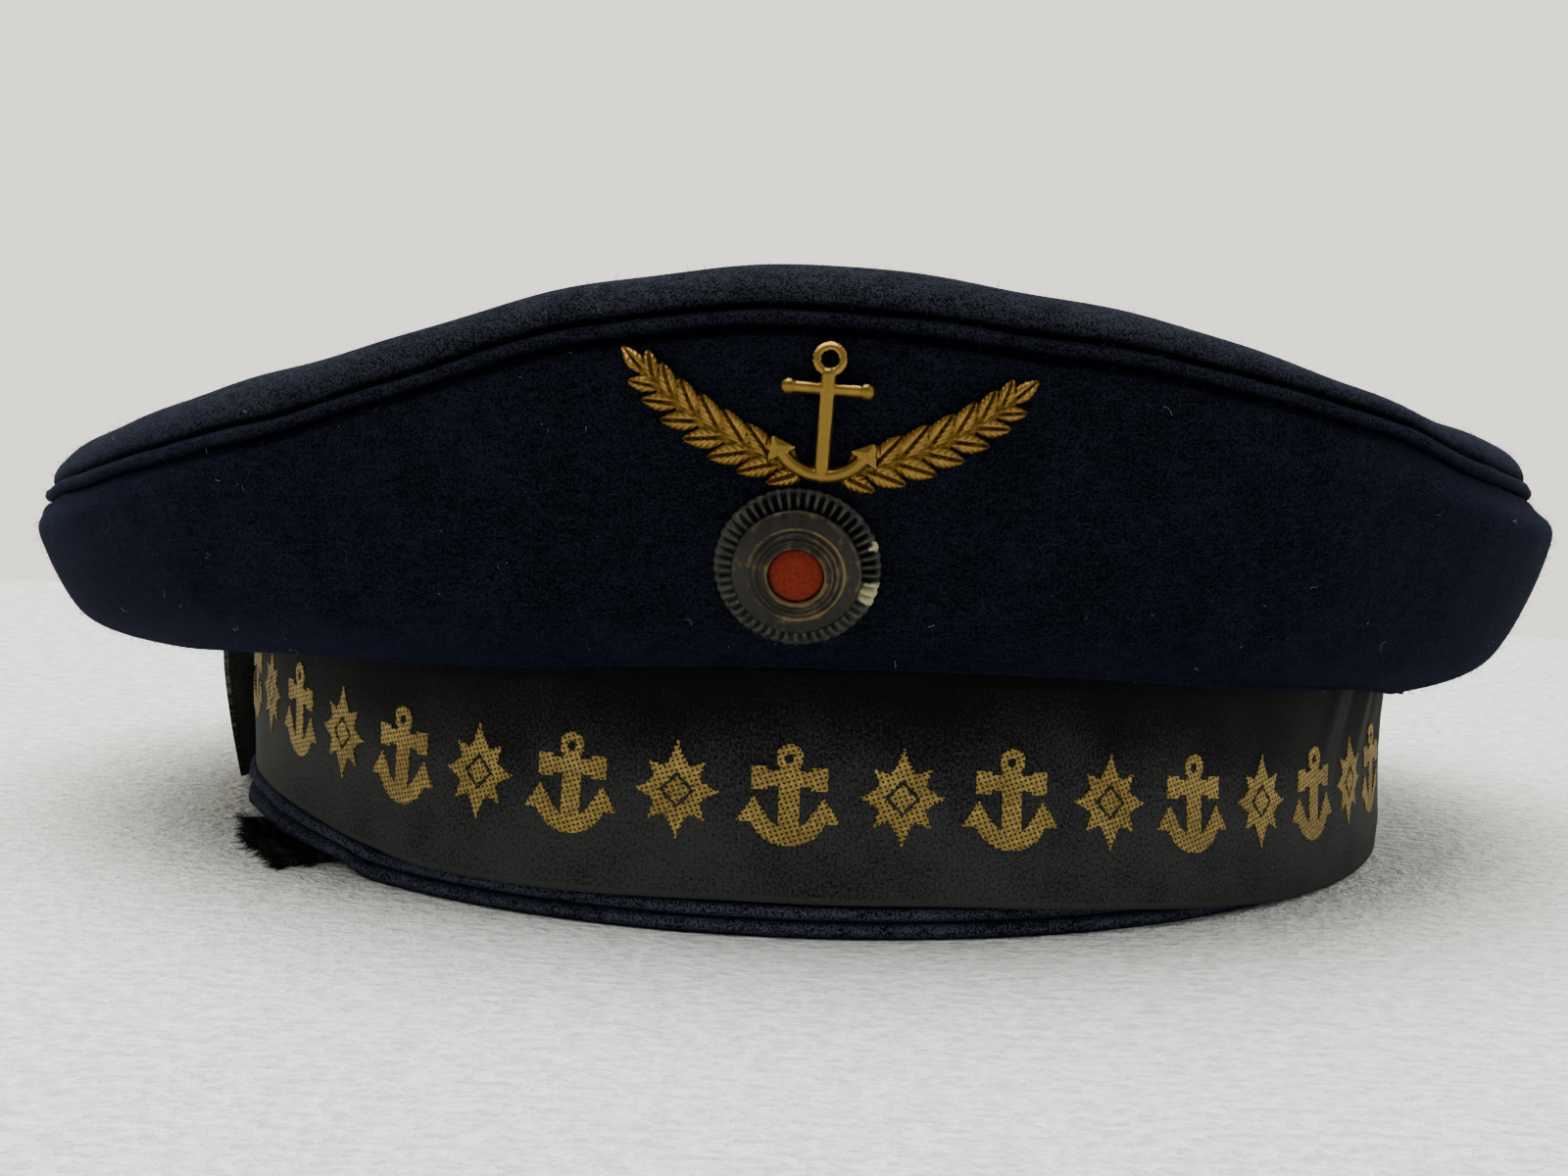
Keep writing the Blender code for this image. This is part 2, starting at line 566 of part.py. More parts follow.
def spray(side):
    """A stem with its leaves, to one side of the anchor."""
    leaves = table(LEAF_COLUMNS, LEAF_ROWS)
    at = np.linspace(0, SPRAY_LENGTH, 9)
    stem = np.array([spray_point(a, side)[:2] for a in at])
    ahead = np.gradient(stem, axis=0)
    across = np.stack([-ahead[:, 1], ahead[:, 0]], axis=1) / np.linalg.norm(ahead, axis=1, keepdims=True)
    half = np.linspace(*STEM_HALF_WIDTHS, len(at))[:, None]
    corners = ((half, LEAF_BACK * 2), (half, SPRAY_THICK), (-half, SPRAY_THICK), (-half, LEAF_BACK * 2))
    rings = np.array([with_height(stem + h * across, d) for h, d in corners]).swapaxes(0, 1)
    made = tool("stem", mended(loft("stem", rings), fill=True))
    for along, length, width in zip(leaves["along"] * MM, leaves["length"] * MM, leaves["width"] * MM):
        for inner in (0, 1):
            x, y, slope = spray_point(along - LEAF_ROOT * length + LEAF_STAGGER * inner, side)
            leaf(x, y, slope + side * LEAF_SPREAD * (2 * inner - 1), length, width)
    length, width = TIP_LEAF
    x, y, slope = spray_point(SPRAY_LENGTH - 0.25 * length, side)
    leaf(x, y, slope, length, width)
    return made


def anchor():
    """The anchor: shank, stock, ring and one bent bar for both arms, which widen into flukes."""
    foot, head, thick = ANCHOR_SHANK
    bar([(0, foot), (0, head)], thick, sides=8)
    height, half, thick = ANCHOR_STOCK
    bar([(-half, height), (half, height)], thick, sides=8)
    height, radius, wire = ANCHOR_RING
    a = circle(12)
    bar(np.stack([radius * np.sin(a), height + radius * np.cos(a)], axis=1), wire, closed=True)
    arm = table(ARM_COLUMNS, ARM_ROWS)
    a = ANCHOR_ARM_SWEEP * np.concatenate([-arm["share"][:0:-1], arm["share"]])
    arms = np.stack([np.sin(a), -np.cos(a)], axis=1) * ANCHOR_ARM_RADIUS + (0, foot + ANCHOR_ARM_RADIUS)
    bar(arms, np.concatenate([arm["radius"][:0:-1], arm["radius"]]) * MM)


def cap_badge(panel):
    """A stamped and gilt anchor between two laurel sprays, bent to the crown's front."""
    base = spray(-1)
    spray(1)
    anchor()
    for i, other in enumerate([o for o in TOOLS.objects if o != base]):
        join = base.modifiers.new(f"join {i}", "BOOLEAN")
        join.operation = "UNION"
        join.object = other
    bpy.context.view_layer.update()
    mesh = bpy.data.meshes.new_from_object(base.evaluated_get(bpy.context.evaluated_depsgraph_get()))
    for used in list(TOOLS.objects):
        bpy.data.objects.remove(used, do_unlink=True)
    bpy.data.collections.remove(TOOLS)
    mesh.name = "cap_badge"
    flat = np.empty(3 * len(mesh.vertices))
    mesh.vertices.foreach_get("co", flat)
    c, s = math.cos(BADGE_TILT), math.sin(BADGE_TILT)
    bent = []
    for across, up, depth in flat.reshape(-1, 3):
        x, z = BADGE_X + across * c - up * s, BADGE_Z + across * s + up * c
        bent.append((x, panel(x, z) - GAP - depth, z))
    mesh.vertices.foreach_set("co", np.array(bent).ravel())
    return add("cap_badge", mended(mesh), GILT)


def cockade(panel):
    """A pleated metal disc, a stepped boss on it and a round of cloth in the boss."""
    up = np.array([0, -math.sin(COCKADE_LEAN), math.cos(COCKADE_LEAN)])
    out = np.array([0, -math.cos(COCKADE_LEAN), -math.sin(COCKADE_LEAN)])
    right = np.array([1.0, 0, 0])
    centre = np.array([COCKADE_X, 0, COCKADE_Z])
    rim = [centre + COCKADE_RADIUS * (math.cos(t) * right + math.sin(t) * up) for t in circle(16)]
    centre[1] = min(panel(p[0], p[2]) - p[1] for p in [*rim, centre]) - COCKADE_GAP

    def turned(name, angles, section, **how):
        """A mesh through rings at the section's (radius, depth) pairs, set on the panel."""
        rings = []
        for radius, depth in section:
            radius, depth = np.broadcast_to(radius, len(angles)), np.broadcast_to(depth, len(angles))
            plan = np.cos(angles)[:, None] * right + np.sin(angles)[:, None] * up
            rings.append(centre + radius[:, None] * plan + depth[:, None] * out)
        return loft(name, rings, **how)

    a = circle(2 * COCKADE_FLUTES)
    wave = np.cos(COCKADE_FLUTES * a)
    rows = table(DISC_COLUMNS, DISC_SECTION)
    disc = [
        (r * MM + 0.5 * FLUTE * edge * wave, d * MM + FLUTE * face * wave)
        for r, d, edge, face in zip(rows["radius"], rows["depth"], rows["edge_flute"], rows["face_flute"])
    ]
    add("cockade_disc", mended(turned("cockade_disc", a, disc), merge=0.02 * MM, fill=True), TARNISHED)

    rows = table(BOSS_COLUMNS, BOSS_SECTION)
    section = zip(rows["radius"] * MM, rows["depth"] * MM)
    add("cockade_boss", turned("cockade_boss", circle(24), section, closed_across=True), TARNISHED)

    rows = table(BOSS_COLUMNS, CENTRE_SECTION)
    centre_cloth = turned("cockade_centre", circle(20), zip(rows["radius"] * MM, rows["depth"] * MM))
    add("cockade_centre", mended(centre_cloth, fill=True), RED_CLOTH)


for build in (crown_side, crown_top, rim_piping, headband, lower_welt, cap_ribbon, tails):
    build()
bpy.context.view_layer.update()
FRONT = panel_finder()
cap_badge(FRONT)
cockade(FRONT)
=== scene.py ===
"""The looks of a navy wool sailor cap that stands on its band on a pale table.

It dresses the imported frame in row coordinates: metres, +Z up and the cap's front towards -Y. An angle goes
round the cap in degrees from the front: 90 is the side at +X, 180 the rear. A reach is a distance outwards
from the headband's outer face, and an inset a distance inwards from the crown's widest outline.
"""

import math

import bpy
import numpy as np
from mathutils import Matrix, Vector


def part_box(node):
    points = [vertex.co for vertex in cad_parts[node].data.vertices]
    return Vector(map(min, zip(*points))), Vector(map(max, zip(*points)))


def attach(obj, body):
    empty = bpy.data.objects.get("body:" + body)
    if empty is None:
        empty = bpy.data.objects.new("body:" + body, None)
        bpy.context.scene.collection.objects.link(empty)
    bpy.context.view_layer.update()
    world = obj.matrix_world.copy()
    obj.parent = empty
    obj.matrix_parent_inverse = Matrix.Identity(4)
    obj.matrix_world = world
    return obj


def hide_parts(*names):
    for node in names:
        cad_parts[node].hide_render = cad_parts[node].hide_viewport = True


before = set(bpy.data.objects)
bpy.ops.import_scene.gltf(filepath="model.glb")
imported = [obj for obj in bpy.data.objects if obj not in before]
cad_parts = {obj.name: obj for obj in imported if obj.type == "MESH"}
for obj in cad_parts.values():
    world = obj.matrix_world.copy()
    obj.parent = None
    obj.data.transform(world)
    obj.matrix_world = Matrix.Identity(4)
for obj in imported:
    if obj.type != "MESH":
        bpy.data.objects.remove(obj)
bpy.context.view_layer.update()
MM = 0.001

# ---------------------------------------------------------------- headband
# A stiff oval band of buckram covered with navy melton, a felted wool cloth. Every other piece is sewn to it,
# and only its inner face and its foot show, inside the cap.

BAND_CENTRE_X = 5.5 * MM
BAND_HALF_WIDTH = 86.5 * MM
BAND_HALF_LENGTH = 100.5 * MM
BAND_TOP = 39.2 * MM
BAND_LEAN = 2.6 * MM  # at the +X side the band's foot is drawn in
WELT_HEIGHT = 4.5 * MM
GAP = 0.3 * MM  # air between two pieces that are sewn or pinned together


def oval_angles(count):
    """Evenly spaced angles once round the cap, from -180 degrees."""
    return np.arange(count) * 360 / count - 180


def round_the_cap(rows, column, angle):
    """A column of a table at any angle: cubic Hermite curves through its rows, closed round the cap."""
    at = np.array([row[0] for row in rows], float)
    value = np.array([row[column] for row in rows], float)
    at = np.concatenate([at[-2:] - 360, at, at[:2] + 360])
    value = np.concatenate([value[-2:], value, value[:2]])
    slope = np.gradient(value, at)
    angle = at[2] + (np.asarray(angle, float) - at[2]) % 360
    i = np.clip(np.searchsorted(at, angle, side="right") - 1, 0, len(at) - 2)
    span = at[i + 1] - at[i]
    t = (angle - at[i]) / span
    start = (2 * t**3 - 3 * t**2 + 1) * value[i] + (t**3 - 2 * t**2 + t) * span * slope[i]
    end = (3 * t**2 - 2 * t**3) * value[i + 1] + (t**3 - t**2) * span * slope[i + 1]
    return start + end


def smooth_step(x):
    """0 below 0, 1 above 1, and 3x^2 - 2x^3 between."""
    x = np.clip(x, 0, 1)
    return x * x * (3 - 2 * x)


def band_point(angle, reach, z):
    """The band's oval widened by a reach, at a height; towards its foot the +X side is drawn in."""
    a = np.radians(angle)
    drawn_in = BAND_LEAN * np.clip(np.sin(a), 0, 1) ** 2 * (1 - np.clip(z, 0, BAND_TOP) / BAND_TOP)
    out = reach - drawn_in
    x = BAND_CENTRE_X + (BAND_HALF_WIDTH + out) * np.sin(a)
    y = -(BAND_HALF_LENGTH + out) * np.cos(a)
    return np.stack(np.broadcast_arrays(x, y, z), axis=-1)


def piece(name, vertices, faces, finish, uv=None):
    """A smooth-shaded object of the cap, riding on the frame's one body. uv is for the faces' corners."""
    mesh = bpy.data.meshes.new(name)
    mesh.from_pydata(vertices, [], faces)
    if uv is not None:
        mesh.uv_layers.new(name="cloth").uv.foreach_set("vector", uv.astype(np.float32).ravel())
    mesh.materials.append(finish)
    mesh.shade_smooth()
    made = bpy.data.objects.new(name, mesh)
    bpy.context.scene.collection.objects.link(made)
    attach(made, "root")
    return made


def outward(vertices, quads):
    """1 where the quads of a closed body point out of it, and otherwise -1: the sign of its volume."""
    a, b, c, d = (vertices[quads[:, k]] for k in range(4))
    return -1 if (a * np.cross(b, c)).sum() + (a * np.cross(c, d)).sum() < 0 else 1


def surface(name, points, finish, ring=False, uv=None):
    """A closed body through a grid of points: rows of points that each close on themselves.

    With ring the last row joins the first, and otherwise each end is closed with a fan of triangles. uv has
    one more column than points, and with ring one more row.
    """
    rows, cols = points.shape[:2]
    index = np.arange(rows * cols).reshape(rows, cols)
    index = np.concatenate([index, index[:, :1]], axis=1)
    if ring:
        index = np.concatenate([index, index[:1]])
    corners = (np.s_[:-1, :-1], np.s_[:-1, 1:], np.s_[1:, 1:], np.s_[1:, :-1])
    quads = np.stack([index[c] for c in corners], axis=-1).reshape(-1, 4)
    vertices = points.reshape(-1, 3)
    fans = np.empty((0, 3), int)
    if not ring:
        vertices = np.concatenate([vertices, np.stack([points[k].mean(axis=0) for k in (0, -1)])])
        first = np.stack([np.full(cols, rows * cols), index[0, 1:], index[0, :-1]], axis=1)
        last = np.stack([np.full(cols, rows * cols + 1), index[-1, :-1], index[-1, 1:]], axis=1)
        fans = np.concatenate([first, last])
    turned = outward(vertices, quads)
    if uv is not None:
        flat = np.stack([uv[c] for c in corners], axis=2).reshape(-1, 4, 2)[:, ::turned].reshape(-1, 2)
        if not ring:
            middles = [np.broadcast_to(uv[k].mean(axis=0), (cols, 2)) for k in (0, -1)]
            sides = [(uv[0, 1:], uv[0, :-1]), (uv[-1, :-1], uv[-1, 1:])]
            fan = [np.stack([m, p, q], axis=1) for m, (p, q) in zip(middles, sides)]
            flat = np.concatenate([flat, np.concatenate(fan)[:, ::turned].reshape(-1, 2)])
        uv = flat
    return piece(name, vertices, quads[:, ::turned].tolist() + fans[:, ::turned].tolist(), finish, uv)


def linear(colour, alpha=1.0):
    """An sRGB hex colour as the linear values that a shader takes."""
    parts = np.array([int(colour[k : k + 2], 16) for k in (1, 3, 5)]) / 255
    parts = np.where(parts <= 0.04045, parts / 12.92, ((parts + 0.055) / 1.055) ** 2.4)
    return (*parts.tolist(), alpha)


def new_material(name):
    """A material whose tree of nodes is empty."""
    made = bpy.data.materials.new(name)
    made.use_nodes = True
    made.node_tree.nodes.clear()
    return made


def node(material, kind, settings=None):
    """Add a node. A setting is one of its properties, or goes into its socket of that name or number.

    There it is a value, a socket that is linked to it, or a node, whose first output is linked to it. stops
    are a colour ramp's pairs of place and sRGB hex.
    """
    made = material.node_tree.nodes.new("ShaderNode" + kind)
    for key, value in (settings or {}).items():
        if isinstance(value, bpy.types.Node):
            value = value.outputs[0]
        if isinstance(value, bpy.types.NodeSocket):
            material.node_tree.links.new(value, made.inputs[key])
        elif key == "stops":
            elements = made.color_ramp.elements
            for element, (place, colour) in zip((elements[0], elements[1]), (value[0], value[-1])):
                element.position, element.color = place, linear(colour)
            for place, colour in value[1:-1]:
                elements.new(place).color = linear(colour)
        elif isinstance(key, int) or key in made.inputs:
            made.inputs[key].default_value = value
        else:
            setattr(made, key, value)
    return made


def mark(made, name, amount):
    """Keep one number for each point of a piece, which its material reads; the middles of its fans get 0."""
    values = np.zeros(len(made.data.vertices), np.float32)
    values[: np.size(amount)] = np.ravel(amount)
    made.data.attributes.new(name, "FLOAT", "POINT").data.foreach_set("value", values)


def melton(name, dark, light):
    """Melton, a wool cloth fulled and raised until its weave is hidden: matt, with a short fibrous nap.

    The eye sees a grain of lighter fibres, drawn about 0.4 mm across so that it shows, faint clouds where the
    nap lies differently, and a pale bloom where the cloth turns away. Deep in a seam it is painted nearly
    black as shade, as the attribute shut_in says.
    """
    made = new_material(name)
    place = node(made, "TexCoord").outputs["Object"]
    grain = node(made, "TexNoise", {"Scale": 1 / (0.3 * MM), "Detail": 1, "Roughness": 0.7, "Vector": place})
    clouds = node(made, "TexNoise", {"Scale": 1 / (10 * MM), "Detail": 5, "Roughness": 0.62, "Vector": place})
    brushing = (1 / (2.2 * MM), 1 / (2.2 * MM), 1 / (0.6 * MM))
    brushed = node(made, "Mapping", {"Scale": brushing, "Vector": place})
    strokes = node(made, "TexNoise", {"Scale": 1, "Detail": 2, "Vector": brushed})
    fine = node(made, "Math", {"operation": "MULTIPLY_ADD", 0: strokes, 1: 0.3, 2: grain})
    tone = node(made, "Math", {"operation": "MULTIPLY_ADD", 0: clouds, 1: 0.3, 2: fine})
    share = node(made, "MapRange", {"From Min": 0.66, "From Max": 0.97, "Value": tone})
    cloth = node(made, "ValToRGB", {"stops": [(0.0, dark), (1.0, light)], "Fac": share})
    # painted shade: deep in a seam the cloth is mixed towards near-black
    seam = node(made, "Attribute", {"attribute_name": "shut_in"}).outputs["Fac"]
    colour = node(made, "Mix", {"data_type": "RGBA", 0: seam, 6: cloth, 7: linear("#010101")}).outputs[2]
    shader = {
        "Base Color": colour, "Roughness": 0.95, "Specular IOR Level": 0.02,
        "Sheen Weight": 0.04, "Sheen Roughness": 0.4, "Sheen Tint": linear("#6073d4"),
        "Normal": node(made, "Bump", {"Strength": 0.6, "Distance": 0.22 * MM, "Height": fine}),
    }
    node(made, "OutputMaterial", {"Surface": node(made, "BsdfPrincipled", shader)})
    return made


RIBBON_LOW = (  # angle, height in mm of the ribbon's lower edge, which has slipped down on the +X side
    (-130, 7.6), (-90, 8.0), (-66, 7.7), (-54, 6.7), (-42, 5.0), (0, 4.8), (18, 4.5),
    (30, 3.3), (40, 1.9), (50, 0.8), (62, 0.4), (90, 0.4), (125, 1.2), (160, 4.2), (180, 5.4),
)
ROUND = oval_angles(480)
ribbon_low = round_the_cap(RIBBON_LOW, 1, ROUND) * MM
welt_top = np.maximum(WELT_HEIGHT, ribbon_low - GAP)

BAND_MELTON = melton("melton over buckram", "#020306", "#0c0f19")
HEADBAND_SECTION = (  # reach in mm and share of the height: outer face, rounded top, inner face and foot
    (0.0, 0.0), (0.0, 0.5), (0.0, 0.97), (-0.4, 1.0), (-2.1, 1.0), (-2.5, 0.97), (-2.5, 0.5), (-2.5, 0.02),
    (-2.1, 0.0),
)
foot = welt_top + GAP
rings = [
    band_point(ROUND, reach * MM, foot + (BAND_TOP - foot) * share) for reach, share in HEADBAND_SECTION
]
headband = surface("headband_cloth", np.array(rings), BAND_MELTON, ring=True)
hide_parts("headband")

# ---------------------------------------------------------------- welt
# Two rolls of the same wool round the band's foot, parted by a line of stitching. The cap stands on their
# flat underside, and at the left they are lifted over the ribbon's tail.

LYING_FROM, LYING_TO = -69.5, -50.5  # angles of the two edges of the tail that passes under the welt
LYING_LIFT = 1.4 * MM
WELT_SECTION = (  # reach in mm, share of the height, and how much painted shade it gets in a seam
    (-2.5, 0.0, 1.0), (-1.0, 0.0, 1.0), (0.3, 0.0, 1.0), (0.95, 0.05, 0.8), (1.35, 0.15, 0.35),
    (1.45, 0.27, 0.0), (1.3, 0.38, 0.2), (0.85, 0.46, 0.5), (0.45, 0.5, 0.85), (0.4, 0.53, 0.85),
    (0.85, 0.57, 0.5), (1.25, 0.64, 0.1), (1.42, 0.74, 0.0), (1.3, 0.86, 0.1), (0.95, 0.94, 0.5),
    (0.5, 0.99, 0.9), (0.0, 1.0, 1.0), (-2.5, 1.0, 1.0),
)
middle, half = 0.5 * (LYING_FROM + LYING_TO), 0.5 * (LYING_TO - LYING_FROM) + 3.0
lift = LYING_LIFT * (1 - smooth_step((np.abs(ROUND - middle) - half) / 5.0))
a = np.radians(ROUND)
plump = 1 + 0.05 * np.sin(23 * a) + 0.04 * np.sin(41 * a + 1.0) + 0.03 * np.sin(67 * a + 2.0)
rings = []
spread = 1 + 0.75 * np.exp(-(((ROUND + 84) / 14) ** 2))  # trodden flat and wider at the -X side
for reach, share, _ in WELT_SECTION:
    out = reach * plump * spread * MM if reach > 0 else reach * MM
    rings.append(band_point(ROUND, out, lift + (welt_top - lift) * share))
welt_rings = np.array(rings)
# The welt's melton is painted much lighter than the crown's, as painted light. Its groove and hidden faces
# are painted dark as shade, as the section's last column says.
welt = surface("foot_welt", welt_rings, melton("melton, rolled", "#090b12", "#484b5c"), ring=True)
mark(welt, "shut_in", np.repeat([row[2] for row in WELT_SECTION], len(ROUND)))
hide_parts("lower_welt")

# ---------------------------------------------------------------- crown, side panel
# The melton panel that rises from the band to the piping. It is cut fuller than the band, so it sags over
# the ribbon, most of all at the sides, and bells out to the rim.

CROWN_HALF_WIDTH = 116.0 * MM
CROWN_HALF_LENGTH = 121.0 * MM
WOOL = 2.0 * MM
SEAM_Z = BAND_TOP + 0.4 * MM
PIPING_RADIUS = 1.05 * MM
# angle; reaches of the tuck, the turn and the sag, and the sag's height; inset and height of the belly, the
# bulge and the rim; rise of the top panel's edge; all but the angle in mm
CROWN_SECTIONS = (
    (-135, 3.0, 6.8, 12.0, 24.8, 6.5, 29.6, 0.0, 40.0, 1.2, 46.8, 6.4),
    (-112, 6.6, 10.2, 15.5, 24.8, 7.5, 28.9, 0.6, 39.8, 1.2, 45.8, 6.4),
    (-92, 6.6, 10.2, 15.5, 24.8, 7.9, 28.8, 1.0, 40.0, 1.2, 45.8, 6.6),
    (-78, 2.4, 7.4, 14.0, 25.1, 7.5, 29.0, 1.0, 40.6, 1.2, 46.8, 7.0),
    (-62, 1.9, 5.2, 10.0, 28.2, 7.4, 32.8, 1.0, 44.8, 0.8, 51.7, 7.4),
    (-45, 1.9, 3.9, 6.8, 31.2, 7.8, 37.0, 1.2, 50.8, 0.4, 58.7, 7.7),
    (-35, 1.9, 3.5, 5.9, 32.4, 7.8, 38.8, 1.6, 54.2, 0.2, 62.9, 8.5),
    (-25, 1.9, 3.1, 5.0, 33.6, 7.8, 40.5, 2.0, 57.6, 0.0, 69.0, 7.9),
    (-10, 1.9, 2.9, 4.5, 35.8, 7.5, 43.3, 2.3, 61.5, 0.0, 78.2, 6.4),
    (0, 1.9, 2.9, 4.5, 36.3, 7.5, 44.0, 2.3, 62.3, 0.0, 80.5, 6.0),
    (10, 1.9, 2.9, 4.5, 36.2, 7.5, 44.0, 2.2, 62.3, 0.1, 80.0, 6.3),
    (25, 1.9, 2.9, 4.5, 35.0, 7.5, 42.8, 1.8, 60.5, 0.4, 76.6, 6.2),
    (45, 1.9, 2.9, 4.5, 31.6, 7.3, 39.5, 1.1, 57.0, 1.2, 68.1, 5.2),
    (63, 1.9, 2.8, 4.2, 28.4, 7.4, 34.6, 0.4, 51.5, 2.0, 59.6, 5.8),
    (80, 1.9, 2.7, 4.2, 24.2, 7.2, 30.2, -0.3, 47.3, 2.8, 54.9, 5.5),
    (100, 1.9, 2.8, 4.4, 24.2, 7.2, 30.2, -0.2, 45.5, 2.6, 52.6, 5.6),
    (135, 1.9, 3.2, 5.0, 24.4, 7.0, 30.8, 0.2, 44.0, 2.0, 50.8, 5.6),
    (180, 1.9, 3.8, 6.5, 24.6, 7.0, 31.0, 0.0, 42.0, 1.6, 49.2, 6.0),
)
TUCK, TURN, SAG, SAG_Z, BELLY, BELLY_Z, BULGE, BULGE_Z, RIM, RIM_Z, EDGE_RISE = (
    round_the_cap(CROWN_SECTIONS, column, ROUND) * MM for column in range(1, 12)
)

a = np.radians(ROUND)
RIM_Z = RIM_Z + 0.2 * MM * (np.sin(9 * a + 1.0) + 0.6 * np.sin(17 * a + 0.3) + 0.5 * np.sin(29 * a + 2.0))
pulled_up = np.exp(-(((ROUND - 68) / 13) ** 2))  # the top's edge is drawn up a little over the +X side
RIM_Z = RIM_Z + 0.6 * MM * pulled_up
EDGE_RISE = EDGE_RISE + 0.8 * MM * pulled_up


def crown_point(angle, inset, z):
    """The crown's widest oval drawn in by an inset, at a height."""
    a = np.radians(angle)
    x = (CROWN_HALF_WIDTH - inset) * np.sin(a)
    y = -(CROWN_HALF_LENGTH - inset) * np.cos(a)
    return np.stack(np.broadcast_arrays(x, y, z), axis=-1)


def smooth_path(knots, steps):
    """Points on Catmull-Rom curves through the knots along axis 0, with so many steps for each span."""
    knots = np.asarray(knots, float)
    p = np.concatenate([[2 * knots[0] - knots[1]], knots, [2 * knots[-1] - knots[-2]]])
    rows = []
    for k in range(len(knots) - 1):
        a, b, c, d = p[k : k + 4]
        for t in np.linspace(0, 1, steps, endpoint=False):
            square, cube = (2 * a - 5 * b + 4 * c - d) * t**2, (3 * b - a - 3 * c + d) * t**3
            rows.append(0.5 * (2 * b + (c - a) * t + square + cube))
    return np.array([*rows, knots[-1]])


def face_normals(rows):
    """Unit normals of a grid whose columns close round the cap, pointing away from the cap's middle."""
    down = np.gradient(rows, axis=0)
    around = np.roll(rows, -1, axis=1) - np.roll(rows, 1, axis=1)
    normal = np.cross(around, down)
    normal /= np.linalg.norm(normal, axis=2, keepdims=True)
    away = rows - (0, 0, 45 * MM)
    return normal * np.sign((normal * away).sum())


def walled(rows, wall):
    """The rows of an outer face, followed by those of an inner face that lies a wall's thickness inside."""
    return np.concatenate([rows, (rows - face_normals(rows) * wall[:, None, None])[::-1]])


drop = SEAM_Z - SAG_Z
knots = [
    band_point(ROUND, 1.8 * MM, SEAM_Z - 0.2 * MM),
    band_point(ROUND, TUCK, SEAM_Z - 0.5 * drop),
    band_point(ROUND, TURN, SEAM_Z - 0.9 * drop),
    band_point(ROUND, SAG, SAG_Z),
    crown_point(ROUND, BELLY, BELLY_Z),
    crown_point(ROUND, BULGE, BULGE_Z),
    crown_point(ROUND, RIM, RIM_Z - 2.5 * MM),
]
PANEL_STEPS, TURN_STEPS = 10, 4  # rows to each span, on the panel and where its edge turns in
panel = smooth_path(knots, PANEL_STEPS)
seam = [band_point(ROUND, -1.0 * MM, SEAM_Z)]
# The panel's top edge turns in under the piping, and its seam allowance stands up behind it: inset past the
# rim and height, in mm
SEAM_TURN = ((0.35, -1.85), (1.05, -1.35), (2.0, -1.2), (2.6, -0.6), (2.8, 0.2), (2.9, 0.9))
turn_in = [crown_point(ROUND, RIM + i * MM, RIM_Z + z * MM) for i, z in SEAM_TURN]
side_rows = np.concatenate([seam, panel, smooth_path([panel[-1], *turn_in], TURN_STEPS)[1:]])

# Soft dents and swellings of the panel: angle and half width in degrees, height and half height in mm, depth
# in mm inwards
DENTS = (
    (-86, 9, 33.0, 7.0, 0.9), (-70, 10, 42.0, 8.0, -0.5), (-52, 8, 38.0, 9.0, 0.4),
    (-33, 10, 50.0, 12.0, 0.5), (-14, 9, 52.0, 13.0, -0.4), (22, 10, 56.0, 12.0, 0.4),
    (38, 8, 48.0, 12.0, -0.4), (52, 9, 44.0, 10.0, 0.5), (70, 9, 38.0, 8.0, -0.4),
    (86, 16, 51.5, 2.6, -0.8), (84, 7, 35.0, 7.0, 0.7), (150, 20, 38.0, 8.0, 0.8), (-150, 18, 38.0, 8.0, 0.7),
)
push = np.zeros(side_rows.shape[:2])
for angle, width, height, tall, depth in DENTS:
    along = (ROUND - angle) / width
    up = (side_rows[..., 2] / MM - height) / tall
    push += depth * MM * np.exp(-(along**2)) * np.exp(-(up**2))
side_rows = side_rows - face_normals(side_rows) * push[..., None]


def edge_wall(rows, turned):
    """The panel's thickness in each row: that of the wool, thinning over the rows that turn in."""
    wall = np.full(len(rows), WOOL)
    wall[-turned:] = np.linspace(WOOL, 0.5 * MM, turned)
    return wall


def shade_rows(rows, turned):
    """How much painted shade each point of a walled panel gets: it is painted dark over 4 rows where the edge
    turns in.
    """
    depth = np.clip((np.arange(len(rows)) - (len(rows) - turned - 2)) / 4, 0, 1)
    return np.outer([*depth, *depth[::-1]], seam_shade_share)


side_turned = TURN_STEPS * len(SEAM_TURN)
side_wall = edge_wall(side_rows, side_turned)
side_wall[:2] = 1.2 * MM
CROWN_MELTON = melton("melton, side panel", "#010203", "#13151f")
side_panel = surface("side_panel", walled(side_rows, side_wall), CROWN_MELTON, ring=True)
seam_shade_share = 1 - 0.45 * smooth_step((np.abs(ROUND) - 50) / 20)  # round the cap's sides less shade is painted into the seams
mark(side_panel, "shut_in", shade_rows(side_rows, side_turned))
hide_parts("crown_side")

# ---------------------------------------------------------------- piping
# A cord rolled in melton and sewn between the crown's two panels, so that it stands proud between two
# grooves. The roll is a little uneven. Its grooves are painted dark as shade, less so round the cap's sides.

